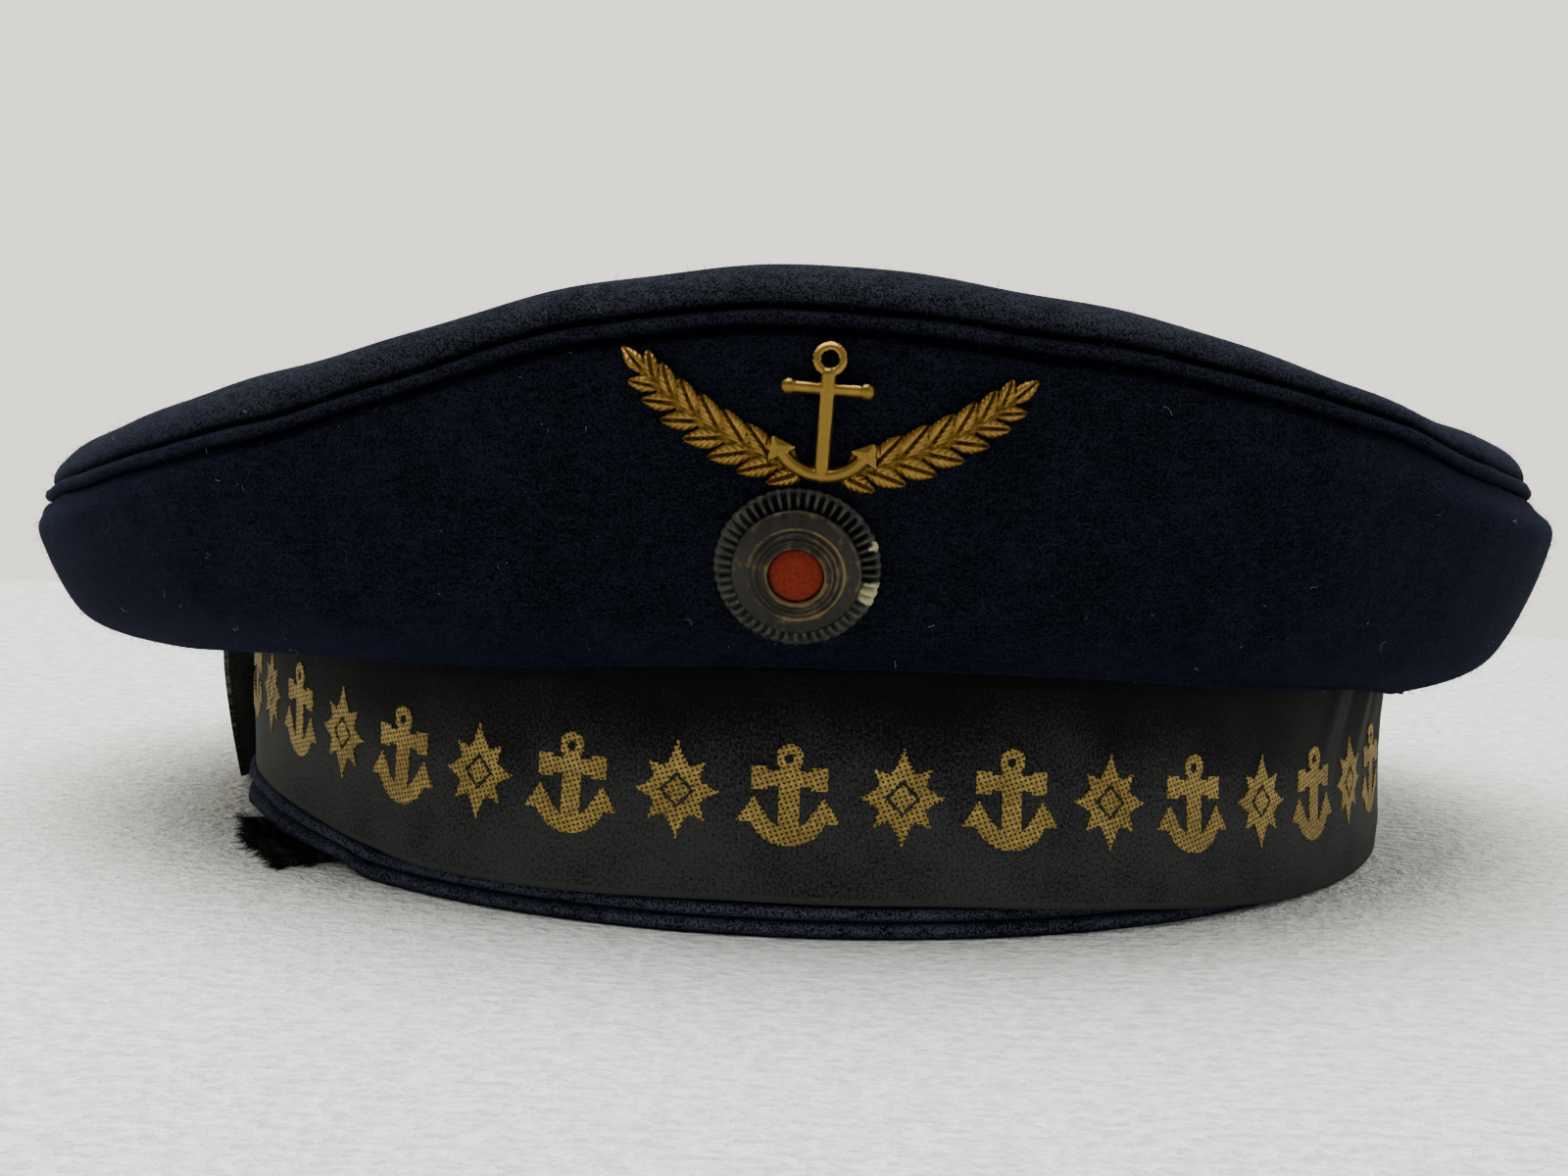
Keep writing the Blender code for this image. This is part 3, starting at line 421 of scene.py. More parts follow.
PIPING_INSET = 1.0 * MM
PIPING_SIDES = 16
around = np.arange(PIPING_SIDES) * 2 * math.pi / PIPING_SIDES
a = np.radians(ROUND)
thick = PIPING_RADIUS * (0.93 + 0.03 * np.sin(37 * a) + 0.03 * np.sin(59 * a + 1.0) + 0.02 * np.sin(83 * a))
piping_rings = np.array(
    [crown_point(ROUND, RIM + PIPING_INSET + thick * np.cos(t), RIM_Z + thick * np.sin(t)) for t in around]
)
piping = surface("piping_roll", piping_rings, melton("melton, piping", "#010205", "#1b1c25"), ring=True)
groove_shade = np.where(np.cos(around) > 0, 1.0, smooth_step((np.abs(np.sin(around)) - 0.45) / 0.5))
mark(piping, "shut_in", np.outer(groove_shade, seam_shade_share))
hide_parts("rim_piping")

# ---------------------------------------------------------------- crown, top panel
# The oval top of the crown, drawn tight like a drumhead from a rim that stands high at the front, and
# rolled over at its edge down to the piping.

EDGE_RUN = 9.0 * MM
TOP_INSET = 1.2 * MM
TOP_SAG = 2.5 * MM
TOP_RINGS = 44  # rows from the middle out to the crest
crest = np.fft.rfft(RIM_Z + EDGE_RISE) / len(ROUND)
crest[1:] *= 2
order = np.arange(len(crest))
turn = np.exp(1j * np.outer(np.radians(ROUND - ROUND[0]), order))
top_rows = []
for share in np.linspace(0.02, 1, TOP_RINGS):
    # a membrane on an uneven rim: each wave of the rim's height dies out inwards as share to its order
    height = (turn * crest * share**order).real.sum(axis=1) - TOP_SAG * (1 - share**2)
    row = crown_point(ROUND, RIM + EDGE_RUN, 0.0) * share
    row[:, 2] = height
    top_rows.append(row)
fall = EDGE_RISE - 2.1 * MM
for t in np.linspace(0, 0.5 * math.pi, 14)[1:]:
    inset = RIM + TOP_INSET + (EDGE_RUN - TOP_INSET) * (1 - math.sin(t))
    top_rows.append(crown_point(ROUND, inset, RIM_Z + EDGE_RISE - fall * (1 - math.cos(t))))
TOP_TURN = ((1.45, 1.5), (2.3, 1.25), (3.3, 1.6), (4.0, 2.7))  # inset past the rim and height, in mm
turn_in = [crown_point(ROUND, RIM + i * MM, RIM_Z + z * MM) for i, z in TOP_TURN]
top_rows = np.concatenate([top_rows, smooth_path([top_rows[-1], *turn_in], TURN_STEPS)[1:]])
# The seam puckers the top a little near its edge
a = np.radians(ROUND)
ripple = np.sin(5 * a + 0.6) + 0.7 * np.sin(8 * a + 2.0) + 0.5 * np.sin(13 * a)
near_edge = np.exp(-(((np.arange(len(top_rows)) - TOP_RINGS) / 7.0) ** 2))
top_rows[..., 2] += 0.22 * MM * ripple * near_edge[:, None]
top_turned = TURN_STEPS * len(TOP_TURN)
# The top panel's melton is painted lighter than the side panel's, as painted light from overhead. Its
# turned-in edge is painted dark as shade.
TOP_MELTON_PAINTED_LIGHTER = melton("melton, top panel", "#030406", "#23252c")
top_panel = surface("top_panel", walled(top_rows, edge_wall(top_rows, top_turned)), TOP_MELTON_PAINTED_LIGHTER)
mark(top_panel, "shut_in", shade_rows(top_rows, top_turned))
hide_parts("crown_top")

# ---------------------------------------------------------------- ribbon
# A black woven ribbon, 31 mm wide, bound tightly round the band. Its lower edge is a plain selvedge, and
# where it has slipped down at the right it stands out over the welt.

RIBBON_WIDTH = 31.0 * MM
RIBBON_THICK = 0.9 * MM
WELT_REACH = 1.4 * MM
FLARE_RISE = 16 * MM  # where it stands out past the welt, it comes back to the band over this height
SELVEDGE = 0.1 * MM  # how far its two edges are rounded


def ribbon_weave(name, dark, light):
    """Rayon ribbon in a fine rib weave: matt charcoal, flecked with lighter and darker threads.

    The real threads are under 0.2 mm wide, and they are drawn 0.4 mm wide so that they show. It reads the
    piece's UV map, which holds metres along the ribbon and across it. The lower selvedge is woven tighter and
    has rubbed paler. Towards the top it is painted darker as the crown's shade, and where the attribute
    shut_in says so it is painted nearly black as that shade.
    """
    made = new_material(name)
    cloth = node(made, "UVMap", {"uv_map": "cloth"})
    apart = node(made, "SeparateXYZ", {"Vector": cloth})
    threads = node(made, "Mapping", {"Scale": (1 / (0.38 * MM), 1 / (0.46 * MM), 1), "Vector": cloth})
    cells = node(made, "TexNoise", {"Scale": 1, "Detail": 1, "Roughness": 0.9, "Vector": threads})
    worn = node(made, "TexNoise", {"Scale": 1 / (16 * MM), "Detail": 5, "Roughness": 0.6, "Vector": cloth})
    tone = node(made, "Math", {"operation": "MULTIPLY_ADD", 0: worn, 1: 0.6, 2: cells})
    across = apart.outputs["Y"]
    edge = {"From Min": 0.9 * MM, "From Max": 0.5 * MM, "To Max": 0.25, "Value": across}
    shade_gradient = {"From Min": RIBBON_WIDTH, "From Max": 10 * MM, "To Min": -0.2, "To Max": 0.12, "Value": across}
    edge, shade_gradient = node(made, "MapRange", edge), node(made, "MapRange", shade_gradient)
    selvedge_and_shade = node(made, "Math", {"operation": "ADD", 0: edge, 1: shade_gradient})
    paler = node(made, "Math", {"operation": "ADD", 0: tone, 1: selvedge_and_shade})
    share = node(made, "MapRange", {"From Min": 0.66, "From Max": 1.0, "Value": paler})
    woven = node(made, "ValToRGB", {"stops": [(0.0, dark), (1.0, light)], "Fac": share})
    shaded = node(made, "Attribute", {"attribute_name": "shut_in"}).outputs["Fac"]
    colour = node(made, "Mix", {"data_type": "RGBA", 0: shaded, 6: woven, 7: linear("#020202")}).outputs[2]
    turns = node(made, "Math", {"operation": "MULTIPLY", 0: apart.outputs["X"], 1: 2 * math.pi / (0.5 * MM)})
    rib = node(made, "Math", {"operation": "SINE", 0: turns})
    height = node(made, "Math", {"operation": "MULTIPLY_ADD", 0: rib, 1: 0.25, 2: cells})
    shader = {
        "Base Color": colour, "Roughness": 0.75, "Specular IOR Level": 0.06,
        "Sheen Weight": 0.015, "Sheen Roughness": 0.4, "Sheen Tint": linear("#c8c8b8"),
        "Normal": node(made, "Bump", {"Strength": 0.5, "Distance": 0.07 * MM, "Height": height}),
    }
    node(made, "OutputMaterial", {"Surface": node(made, "BsdfPrincipled", shader)})
    return made


RIBBON_ROUND = oval_angles(720)
RIBBON_ROWS = 34
# Soft creases: angle at the top and half width in degrees, lowest share of the width, depth in mm outwards,
# and how many degrees the crease leans over the whole width
CREASES = (
    (-74.5, 1.0, 0.0, 0.35, 0), (-60, 2.5, 0.3, 0.25, 3), (61, 1.5, 0.4, 0.4, 10), (66, 1.3, 0.35, -0.4, 11),
    (70.5, 1.4, 0.3, 0.5, 12), (75, 1.3, 0.35, -0.35, 12), (82, 2.0, 0.2, 0.4, 12), (110, 3.0, 0.2, 0.3, 0),
    (150, 3.0, 0.2, 0.25, 0), (-130, 3.0, 0.2, 0.3, 0),
)


def ribbon_face(angle, share, inner):
    """Points of the ribbon's face at an angle and a share of its width, up from its lower edge.

    It lies GAP off the band, or its thickness further out. Below the top of the welt it stands out past it.
    """
    low = round_the_cap(RIBBON_LOW, 1, angle) * MM
    high = np.minimum(low + RIBBON_WIDTH, BAND_TOP - GAP)
    z = low + (high - low) * share
    flare = (WELT_REACH + GAP) * smooth_step((WELT_HEIGHT + 0.5 * MM - low) / (0.7 * MM))
    knee = np.maximum(low + 0.8 * MM, WELT_HEIGHT + FLARE_RISE)
    over = np.maximum(low + 0.4 * MM, np.minimum(WELT_HEIGHT + 0.2 * MM, knee - 0.2 * MM))
    out = flare * (1 - np.clip((z - over) / (knee - over), 0, 1) ** 0.8)
    for at, width, lowest, depth, lean in CREASES:
        beside = (angle - at + lean * (1 - share)) / width
        out = out + depth * MM * np.exp(-(beside**2)) * smooth_step((share - lowest) / 0.4)
    a = np.radians(angle)
    out = out + 0.12 * MM * (1 + np.sin(9 * a + 3 * share) * np.sin(5 * a + 1.0))
    return band_point(angle, GAP + out + (0 if inner else RIBBON_THICK), z)


def along_oval(angle):
    """Distance along the ribbon from the front, in metres, worked out on 0.5 degree steps of its oval."""
    steps = np.arange(-360, 361) * 0.5
    path = band_point(steps, 1.2 * MM, BAND_TOP)
    length = np.concatenate([[0], np.cumsum(np.linalg.norm(np.diff(path, axis=0), axis=1))])
    return np.interp(angle, steps, length - length[360])


shares = np.linspace(0, 1, RIBBON_ROWS)[:, None]
outer = ribbon_face(RIBBON_ROUND[None], shares, False)
inner = ribbon_face(RIBBON_ROUND[None], shares, True)
edge_low = 0.5 * (outer[:1] + inner[:1]) - (0, 0, SELVEDGE)
edge_high = 0.5 * (outer[-1:] + inner[-1:]) + (0, 0, SELVEDGE)
loop = np.concatenate([edge_low, outer, edge_high, inner[::-1]])
u = along_oval(np.append(RIBBON_ROUND, 180.0))
heights = np.concatenate([[0], shares[:, 0], [1], shares[::-1, 0], [0]]) * RIBBON_WIDTH
uv = np.stack(np.broadcast_arrays(u[None], heights[:, None]), axis=-1)
RIBBON_BLACK = ribbon_weave("rayon rib weave, black", "#070808", "#313332")
ribbon = surface("ribbon_band", loop, RIBBON_BLACK, ring=True, uv=uv)
# Painted shade from the crown: the ribbon is painted nearly black above a line 2.4 mm below the sag, and
# the painted shade thins out over the 13 mm below that line
near_crown = 2.4 * MM + loop[..., 2] - round_the_cap(CROWN_SECTIONS, 4, RIBBON_ROUND)[None] * MM
under = 0.95 * smooth_step(near_crown / (0.9 * MM)) + 0.72 * smooth_step(1 + near_crown / (13 * MM))
mark(ribbon, "shut_in", np.minimum(under, 0.97))
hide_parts("cap_ribbon")

# ---------------------------------------------------------------- woven ornament
# A row of anchors and compass stars in gilt thread, woven into the ribbon. The thread floats over the
# ground and is bound down at points that make slanting rows of small dark dots.

THREAD_ALONG, THREAD_ACROSS = 0.3 * MM, 0.25 * MM  # one cell of the pattern
MOTIF_LOW, MOTIF_HEIGHT = 7.3 * MM, 13.6 * MM
MOTIF_PITCH = 14.7 * MM
MOTIF_RISE, MOTIF_SINK = 0.16 * MM, 0.05 * MM  # how far it stands over the ribbon and lies in it


def anchor_shape(x, y):
    """Distance outside an anchor, in mm: a shank, a stock with ends, a ring and an arc with two flukes."""
    shank = np.maximum(np.abs(x) - 1.25, np.abs(y + 1.1) - 4.6)
    stock = np.maximum(np.abs(x) - 3.9, np.abs(y - 2.2) - 0.9)
    ends = np.maximum(np.abs(np.abs(x) - 3.9) - 0.95, np.abs(y - 2.2) - 1.6)
    ring = np.abs(np.hypot(x, y - 4.9) - 1.2) - 0.55
    arms = np.maximum(np.abs(np.hypot(x, y + 1.2) - 4.3) - 1.1, y + 2.6)
    fluke = np.maximum(np.abs(np.abs(x) - 4.5) + 0.66 * (y + 0.2), -y - 3.6)
    return np.minimum.reduce([shank, stock, ends, ring, arms, fluke])


def star_shape(x, y):
    """Distance outside a compass star of eight points, in mm, with a ring of bare ribbon round its heart."""
    x, y = np.abs(x), np.abs(y)
    points = ((x / 5.9) ** 0.68 + (y / 6.8) ** 0.68 - 1.0) * 4
    between = (((x + y) / 7.6) ** 0.9 + (np.abs(x - y) / 4.4) ** 0.9 - 1.0) * 3
    bare = np.abs(x + y - 2.1) - 0.35
    return np.maximum(np.minimum(points, between), -bare)


def raised_mesh(name, mask, top, bottom, finish, uv=None):
    """A closed body over the marked cells of a grid: its top, its underside and a wall round each edge.

    mask[i, j] marks the cell between the grid points i, i + 1 and j, j + 1.
    """
    rows, cols = top.shape[:2]
    upper = np.arange(rows * cols).reshape(rows, cols)
    lower = upper + rows * cols
    i, j = np.nonzero(mask)
    quads = [np.stack([upper[i, j], upper[i, j + 1], upper[i + 1, j + 1], upper[i + 1, j]], axis=1)]
    quads.append(np.stack([lower[i, j], lower[i + 1, j], lower[i + 1, j + 1], lower[i, j + 1]], axis=1))
    padded = np.pad(mask, 1)
    edges = (  # the neighbour's step, and the two ends of the shared edge
        ((-1, 0), (0, 1), (0, 0)), ((1, 0), (1, 0), (1, 1)),
        ((0, -1), (0, 0), (1, 0)), ((0, 1), (1, 1), (0, 1)),
    )
    for (di, dj), (ai, aj), (bi, bj) in edges:
        open_side = mask & ~padded[1 + di : 1 + di + mask.shape[0], 1 + dj : 1 + dj + mask.shape[1]]
        i, j = np.nonzero(open_side)
        a, b = (i + ai, j + aj), (i + bi, j + bj)
        quads.append(np.stack([upper[a], upper[b], lower[b], lower[a]], axis=1))
    quads = np.concatenate(quads)
    used, quads = np.unique(quads, return_inverse=True)
    quads = quads.reshape(-1, 4)
    vertices = np.concatenate([top.reshape(-1, 3), bottom.reshape(-1, 3)])[used]
    turned = outward(vertices, quads)
    if uv is not None:
        uv = np.concatenate([uv.reshape(-1, 2)] * 2)[used][quads[:, ::turned]]
    made = piece(name, vertices, quads[:, ::turned].tolist(), finish, uv)
    made.data.set_sharp_from_angle(angle=math.radians(50))
    return made


def without_corner_contacts(mask):
    """Fill a cell wherever two marked cells meet only at a corner."""
    for _ in range(3):
        a, b, c, d = mask[:-1, :-1], mask[:-1, 1:], mask[1:, :-1], mask[1:, 1:]
        b |= a & d & ~c
        a |= b & c & ~d
    return mask


def gilt_thread(name):
    """Gilt thread of flat metal wound on yellow silk: soft gold, brighter where a float catches the light.

    The floats run up the ribbon. Binding points stand 0.7 mm apart in rows that slant, and show dark.
    """
    made = new_material(name)
    cloth = node(made, "UVMap", {"uv_map": "cloth"})
    apart = node(made, "SeparateXYZ", {"Vector": cloth})
    u, v = apart.outputs["X"], apart.outputs["Y"]
    slant = node(made, "Math", {"operation": "MULTIPLY_ADD", 0: u, 1: -0.3, 2: v})
    lean = node(made, "Math", {"operation": "MULTIPLY_ADD", 0: v, 1: 0.42, 2: u})
    waves = []
    for line, step, wave in ((slant, 0.66, "COSINE"), (lean, 0.72, "COSINE"), (u, 0.35, "SINE")):
        turns = node(made, "Math", {"operation": "MULTIPLY", 0: line, 1: 2 * math.pi / (step * MM)})
        waves.append(node(made, "Math", {"operation": wave, 0: turns}))
    dots = node(made, "Math", {"operation": "ADD", 0: waves[0], 1: waves[1]})
    bound = node(made, "MapRange", {"From Min": 0.5, "From Max": 1.3, "Value": dots})
    cells = node(made, "TexNoise", {"Scale": 1 / (0.6 * MM), "Detail": 2, "Roughness": 0.7, "Vector": cloth})
    worn = node(made, "TexNoise", {"Scale": 1 / (6 * MM), "Detail": 3, "Vector": cloth})
    tone = node(made, "Math", {"operation": "MULTIPLY_ADD", 0: worn, 1: 0.5, 2: cells})
    stops = [(0.5, "#5b4b20"), (0.75, "#8a7236"), (1.0, "#b29955")]
    gold = node(made, "ValToRGB", {"stops": stops, "Fac": tone})
    colour = node(made, "Mix", {"data_type": "RGBA", 0: bound, 6: gold, 7: linear("#120d04")}).outputs[2]
    sunk = node(made, "Math", {"operation": "MULTIPLY", 0: bound, 1: -1.0})
    height = node(made, "Math", {"operation": "MULTIPLY_ADD", 0: waves[2], 1: 0.35, 2: sunk})
    shader = {
        "Base Color": colour, "Roughness": 0.7, "Metallic": 0.1, "Specular IOR Level": 0.2,
        "Normal": node(made, "Bump", {"Strength": 0.7, "Distance": 0.1 * MM, "Height": height}),
    }
    node(made, "OutputMaterial", {"Surface": node(made, "BsdfPrincipled", shader)})
    return made


MOTIFS_EACH_SIDE = 8
HALF_ROW = 124 * MM
along = np.arange(-HALF_ROW, HALF_ROW, THREAD_ALONG)
across = np.arange(0, MOTIF_HEIGHT + 0.5 * THREAD_ACROSS, THREAD_ACROSS)
x = 0.5 * (along[:-1] + along[1:])[None] / MM
y = (0.5 * (across[:-1] + across[1:]) - 0.5 * MOTIF_HEIGHT)[:, None] / MM
mask = np.zeros((len(across) - 1, len(along) - 1), bool)
pitch = MOTIF_PITCH / MM
for k in range(-MOTIFS_EACH_SIDE, MOTIFS_EACH_SIDE + 1):
    shape = star_shape if k % 2 else anchor_shape
    mask |= (shape(x - k * pitch, y) < 0) & (np.abs(x - k * pitch) < 0.5 * pitch)
steps = np.linspace(-90, 90, 1441)
angle_at = np.interp(along, along_oval(steps), steps)
low = round_the_cap(RIBBON_LOW, 1, angle_at) * MM
width = np.minimum(low + RIBBON_WIDTH, BAND_TOP - GAP) - low
share = (MOTIF_LOW + across[:, None]) / width[None]
face = ribbon_face(angle_at[None], share, False)
ahead = np.gradient(face, axis=1)
outwards = np.cross(ahead, (0, 0, 1.0))
outwards /= np.linalg.norm(outwards, axis=2, keepdims=True)
outwards *= np.sign((outwards * (face - (BAND_CENTRE_X, 0, 0))).sum())
uv = np.stack(np.broadcast_arrays(along[None], across[:, None]), axis=-1)
mask = without_corner_contacts(mask)
front, back = face + MOTIF_RISE * outwards, face - MOTIF_SINK * outwards
ornament = raised_mesh("gilt_ornament", mask, front, back, gilt_thread("gilt thread"), uv)

# ---------------------------------------------------------------- ribbon tails
# The ribbon's two ends. One hangs from between crown and ribbon at the left, cut square. The other is
# turned up inside the band, and its frayed end lies out on the table under the welt.

TAIL_THICK = 0.8 * MM
HANGING_FROM, HANGING_TO = -111.0, -91.5
# Reach and height along each end, in mm
HANGING_PATH = ((1.6, 36.2), (2.9, 33.6), (5.6, 29.4), (8.8, 24.6), (9.3, 19.0), (8.1, 9.5), (6.4, 0.6))
LYING_PATH = (
    (-3.75, 26.0), (-3.75, 13.0), (-3.75, 1.4), (-3.4, 0.55), (-2.6, 0.25), (2.5, 0.25), (7.6, 0.25),
)
LYING_SLANT = 4.4 * MM


def ribbon_end(name, path, angles, wave, slant, finish):
    """A strip: a path of reach and height swept between two angles, with its own thickness.

    wave(angle, share) moves it outwards, and slant shortens its end towards its first angle.
    """
    path = np.asarray(path) * MM
    ahead = np.gradient(path, axis=0)
    ahead /= np.linalg.norm(ahead, axis=1, keepdims=True)
    normal = np.stack([-ahead[:, 1], ahead[:, 0]], axis=1)
    length = np.concatenate([[0], np.cumsum(np.linalg.norm(np.diff(path, axis=0), axis=1))])
    share = (length / length[-1])[:, None]
    short = (angles[-1] - angles) / (angles[-1] - angles[0])
    shift = wave(angles[None], share) - slant * short[None] * share**8
    front = band_point(angles[None], path[:, :1] + shift, path[:, 1:])
    back_path = path + TAIL_THICK * normal
    back = band_point(angles[None], back_path[:, :1] + shift, back_path[:, 1:])
    points = np.concatenate([front, back[:, ::-1]], axis=1)
    across = along_oval(angles) - along_oval(angles[0])
    both = np.concatenate([across, across[::-1], across[:1]])
    uv = np.stack(np.broadcast_arrays(both[None], length[:, None]), axis=-1)
    made = surface(name, points, finish, uv=uv)
    made.data.set_sharp_from_angle(angle=math.radians(50))
    return made, float(length[-1])


def hanging_wave(angle, share):
    """Two soft folds that open towards the cut end."""
    return 0.35 * MM * share * np.sin(np.radians((angle - HANGING_FROM) * 32))


def lying_wave(angle, share):
    """The cut end is a little uneven."""
    uneven = 0.35 * np.sin(np.radians(angle * 97)) + 0.25 * np.sin(np.radians(angle * 211))
    return MM * uneven * share**8


# The tails are painted lighter than the ribbon they are cut from: painted light where they hang and lie out
# at the side.
TAIL_BLACK_PAINTED_LIGHTER = ribbon_weave("rayon rib weave, tail", "#1d1e1c", "#74756e")
TAIL_COLUMNS = 60
angles = np.linspace(HANGING_FROM, HANGING_TO, TAIL_COLUMNS)
hanging, hanging_length = ribbon_end(
    "tail_hanging", smooth_path(HANGING_PATH, 8), angles, hanging_wave, 0.0, TAIL_BLACK_PAINTED_LIGHTER
)
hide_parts("ribbon_tail_hanging")
angles = np.linspace(LYING_FROM, LYING_TO, TAIL_COLUMNS)
spans = [np.linspace(start, end, 5, endpoint=False) for start, end in zip(LYING_PATH, LYING_PATH[1:])]
lying_path = np.concatenate([*spans, LYING_PATH[-1:]])
lying, lying_length = ribbon_end("tail_lying", lying_path, angles, lying_wave, LYING_SLANT, TAIL_BLACK_PAINTED_LIGHTER)
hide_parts("ribbon_tail_lying")


def plain(name, colour, roughness, specular):
    """A finish of one colour, for threads too thin to show a pattern."""
    made = new_material(name)
    shader = {"Base Color": linear(colour), "Roughness": roughness, "Specular IOR Level": specular}
    node(made, "OutputMaterial", {"Surface": node(made, "BsdfPrincipled", shader)})
    return made


def fibres(name, roots, ahead, length, radius, loops, steps, finish, seed):
    """Loose fibres, each a three-sided tube that thins to its tip and is closed at both ends.

    A fibre runs along its direction ahead and turns round it about loops times on the way. None of it lies
    below the table. length is one number for each fibre.
    """
    rng = np.random.default_rng(seed)
    ahead = ahead / np.linalg.norm(ahead, axis=1, keepdims=True)
    side = np.cross(ahead, rng.normal(size=ahead.shape))
    side /= np.linalg.norm(side, axis=1, keepdims=True)
    other = np.cross(ahead, side)
    ahead, side, other = ahead[:, None], side[:, None], other[:, None]
    t = np.linspace(0, 1, steps)[None, :, None]
    w = 2 * math.pi * loops * rng.uniform(0.6, 1.3, (len(roots), 1, 1))
    swing = (np.sin(w * t) * side + (1 - np.cos(w * t)) * other) / w
    path = roots[:, None] + length[:, None, None] * (t * ahead + swing)
    a = np.arange(3)[:, None] * 2 * math.pi / 3
    ring = np.cos(a) * side[:, None] + np.sin(a) * other[:, None]
    points = path[:, :, None] + (radius * (1 - 0.75 * t))[..., None] * ring
    points[..., 2] = np.maximum(points[..., 2], 0.02 * MM)
    index = np.arange(points.size // 3).reshape(-1, steps, 3)
    following = np.roll(index, -1, axis=2)
    quads = np.stack([index[:, :-1], following[:, :-1], following[:, 1:], index[:, 1:]], axis=-1)
    ends = np.concatenate([index[:, 0, ::-1], index[:, -1]])
    faces = quads.reshape(-1, 4).tolist() + ends.tolist()
    return piece(name, points.reshape(-1, 3), faces, finish)


FRAY_COUNT = 1500
FRAY_TUFTS = 70
FRAY_BACK = 6.5 * MM  # how far in from the cut end threads have come loose
rng = np.random.default_rng(7)
tuft = rng.integers(0, FRAY_TUFTS, FRAY_COUNT)
at = rng.uniform(LYING_FROM + 1.5, LYING_TO + 0.4, FRAY_TUFTS)[tuft] + rng.normal(0, 0.45, FRAY_COUNT)
cut = LYING_PATH[-1][0] * MM - LYING_SLANT * (LYING_TO - at) / (LYING_TO - LYING_FROM)
back = FRAY_BACK * rng.random(FRAY_TUFTS)[tuft] ** 1.6 * rng.uniform(0.8, 1, FRAY_COUNT)
on_top, at_end = rng.uniform(0.9, 1.2, FRAY_COUNT), rng.uniform(0.2, 1.2, FRAY_COUNT)
roots = band_point(at, cut - back, np.where(back > MM, on_top, at_end) * MM)
a = np.radians(at + rng.normal(-4, 30, FRAY_TUFTS)[tuft] + rng.normal(0, 8, FRAY_COUNT))
rise = rng.uniform(-0.35, 0.3, FRAY_TUFTS)[tuft] + rng.normal(0, 0.06, FRAY_COUNT)
ahead = np.stack([np.sin(a), -np.cos(a), rise], axis=1)
length = rng.uniform(0.9, 2.8, FRAY_TUFTS)[tuft] * rng.uniform(0.7, 1, FRAY_COUNT) * MM
THREAD_BLACK = plain("rayon threads, frayed", "#070808", roughness=0.6, specular=0.15)
fray = fibres(
    "tail_fray", roots, ahead, length, radius=0.11 * MM, loops=0.2, steps=7, finish=THREAD_BLACK, seed=8
)

# ---------------------------------------------------------------- badge
# A stamped brass badge, gilt, an anchor between two sprays of laurel, pinned to the front of the crown. The
# stamping leaves a midrib and veins in each leaf, and the hollows are dark with dirt and with painted shade.

BADGE_X, BADGE_Z = 9.4 * MM, 69.2 * MM
BADGE_TILT = math.radians(-3.0)
BADGE_OFF = 0.25 * MM  # the air behind it
BADGE_DEPTH = 2.8 * MM  # the depth of relief that its attribute depth gives as 1
# The lengths that follow are in mm, and the places in mm from the middle of the badge
BADGE_CELL = 0.13  # one cell of the grid that carries its relief
PLATE_THICK = 0.45
SPRAY_START, SPRAY_LENGTH = (0.8, -7.4), 25.5
SPRAY_FROM, SPRAY_TO = math.radians(10), math.radians(44)
LEAF_SPREAD, LEAF_STAGGER = math.radians(33), 0.9
LEAF_ROOT = 0.35  # a leaf starts this share of its length before its place
LEAF_ROWS = (  # place along the spray, length and width, in mm
    (3.0, 5.2, 2.5), (6.5, 5.6, 2.8), (10.1, 5.8, 2.9), (13.7, 5.6, 2.8), (17.2, 5.3, 2.6), (20.5, 4.8, 2.4),
    (23.4, 4.2, 2.1),
)
ANCHOR_DEPTH = 1.35
ANCHOR_BARS = (((0, -7.6), (0, 5.0), 0.95), ((-4.6, 3.2), (4.6, 3.2), 0.75))  # both ends and radius
KNOB_AT, KNOB_RADIUS = (4.7, 3.2), 1.05
RING_AT, RING_RADIUS, RING_THICK = 6.9, 1.6, 0.55
ARM_MIDDLE, ARM_RADIUS, ARM_THICK = -1.4, 6.2, 0.85
ARM_END, FLUKE_AT = math.radians(58), math.radians(60)
FAR_OFF = 9.0  # stands for the distance of what is well outside a form


def panel_front(x, z):
    """The side panel's outer Y over the front: a polynomial of degree 5 fitted to the panel's own points."""
    near = side_rows[12:-14][:, np.abs(ROUND) < 22].reshape(-1, 3) / MM

    def terms(x, z):
        u, v = (x - 9) / 30, (z - 58) / 20
        return np.stack([u**i * v**j for i in range(6) for j in range(6 - i)], axis=-1)

    fit = np.linalg.lstsq(terms(near[:, 0], near[:, 2]), near[:, 1], rcond=None)[0]
    return terms(x / MM, z / MM) @ fit * MM


def spray_point(along, side):
    """A place on a spray, whose slope turns steadily from its foot to its tip, and the slope there."""
    turning = SPRAY_TO - SPRAY_FROM
    slope = SPRAY_FROM + turning * along / SPRAY_LENGTH
    x = SPRAY_START[0] + SPRAY_LENGTH * (math.sin(slope) - math.sin(SPRAY_FROM)) / turning
    y = SPRAY_START[1] + SPRAY_LENGTH * (math.cos(SPRAY_FROM) - math.cos(slope)) / turning
    return side * x, y, slope if side > 0 else math.pi - slope


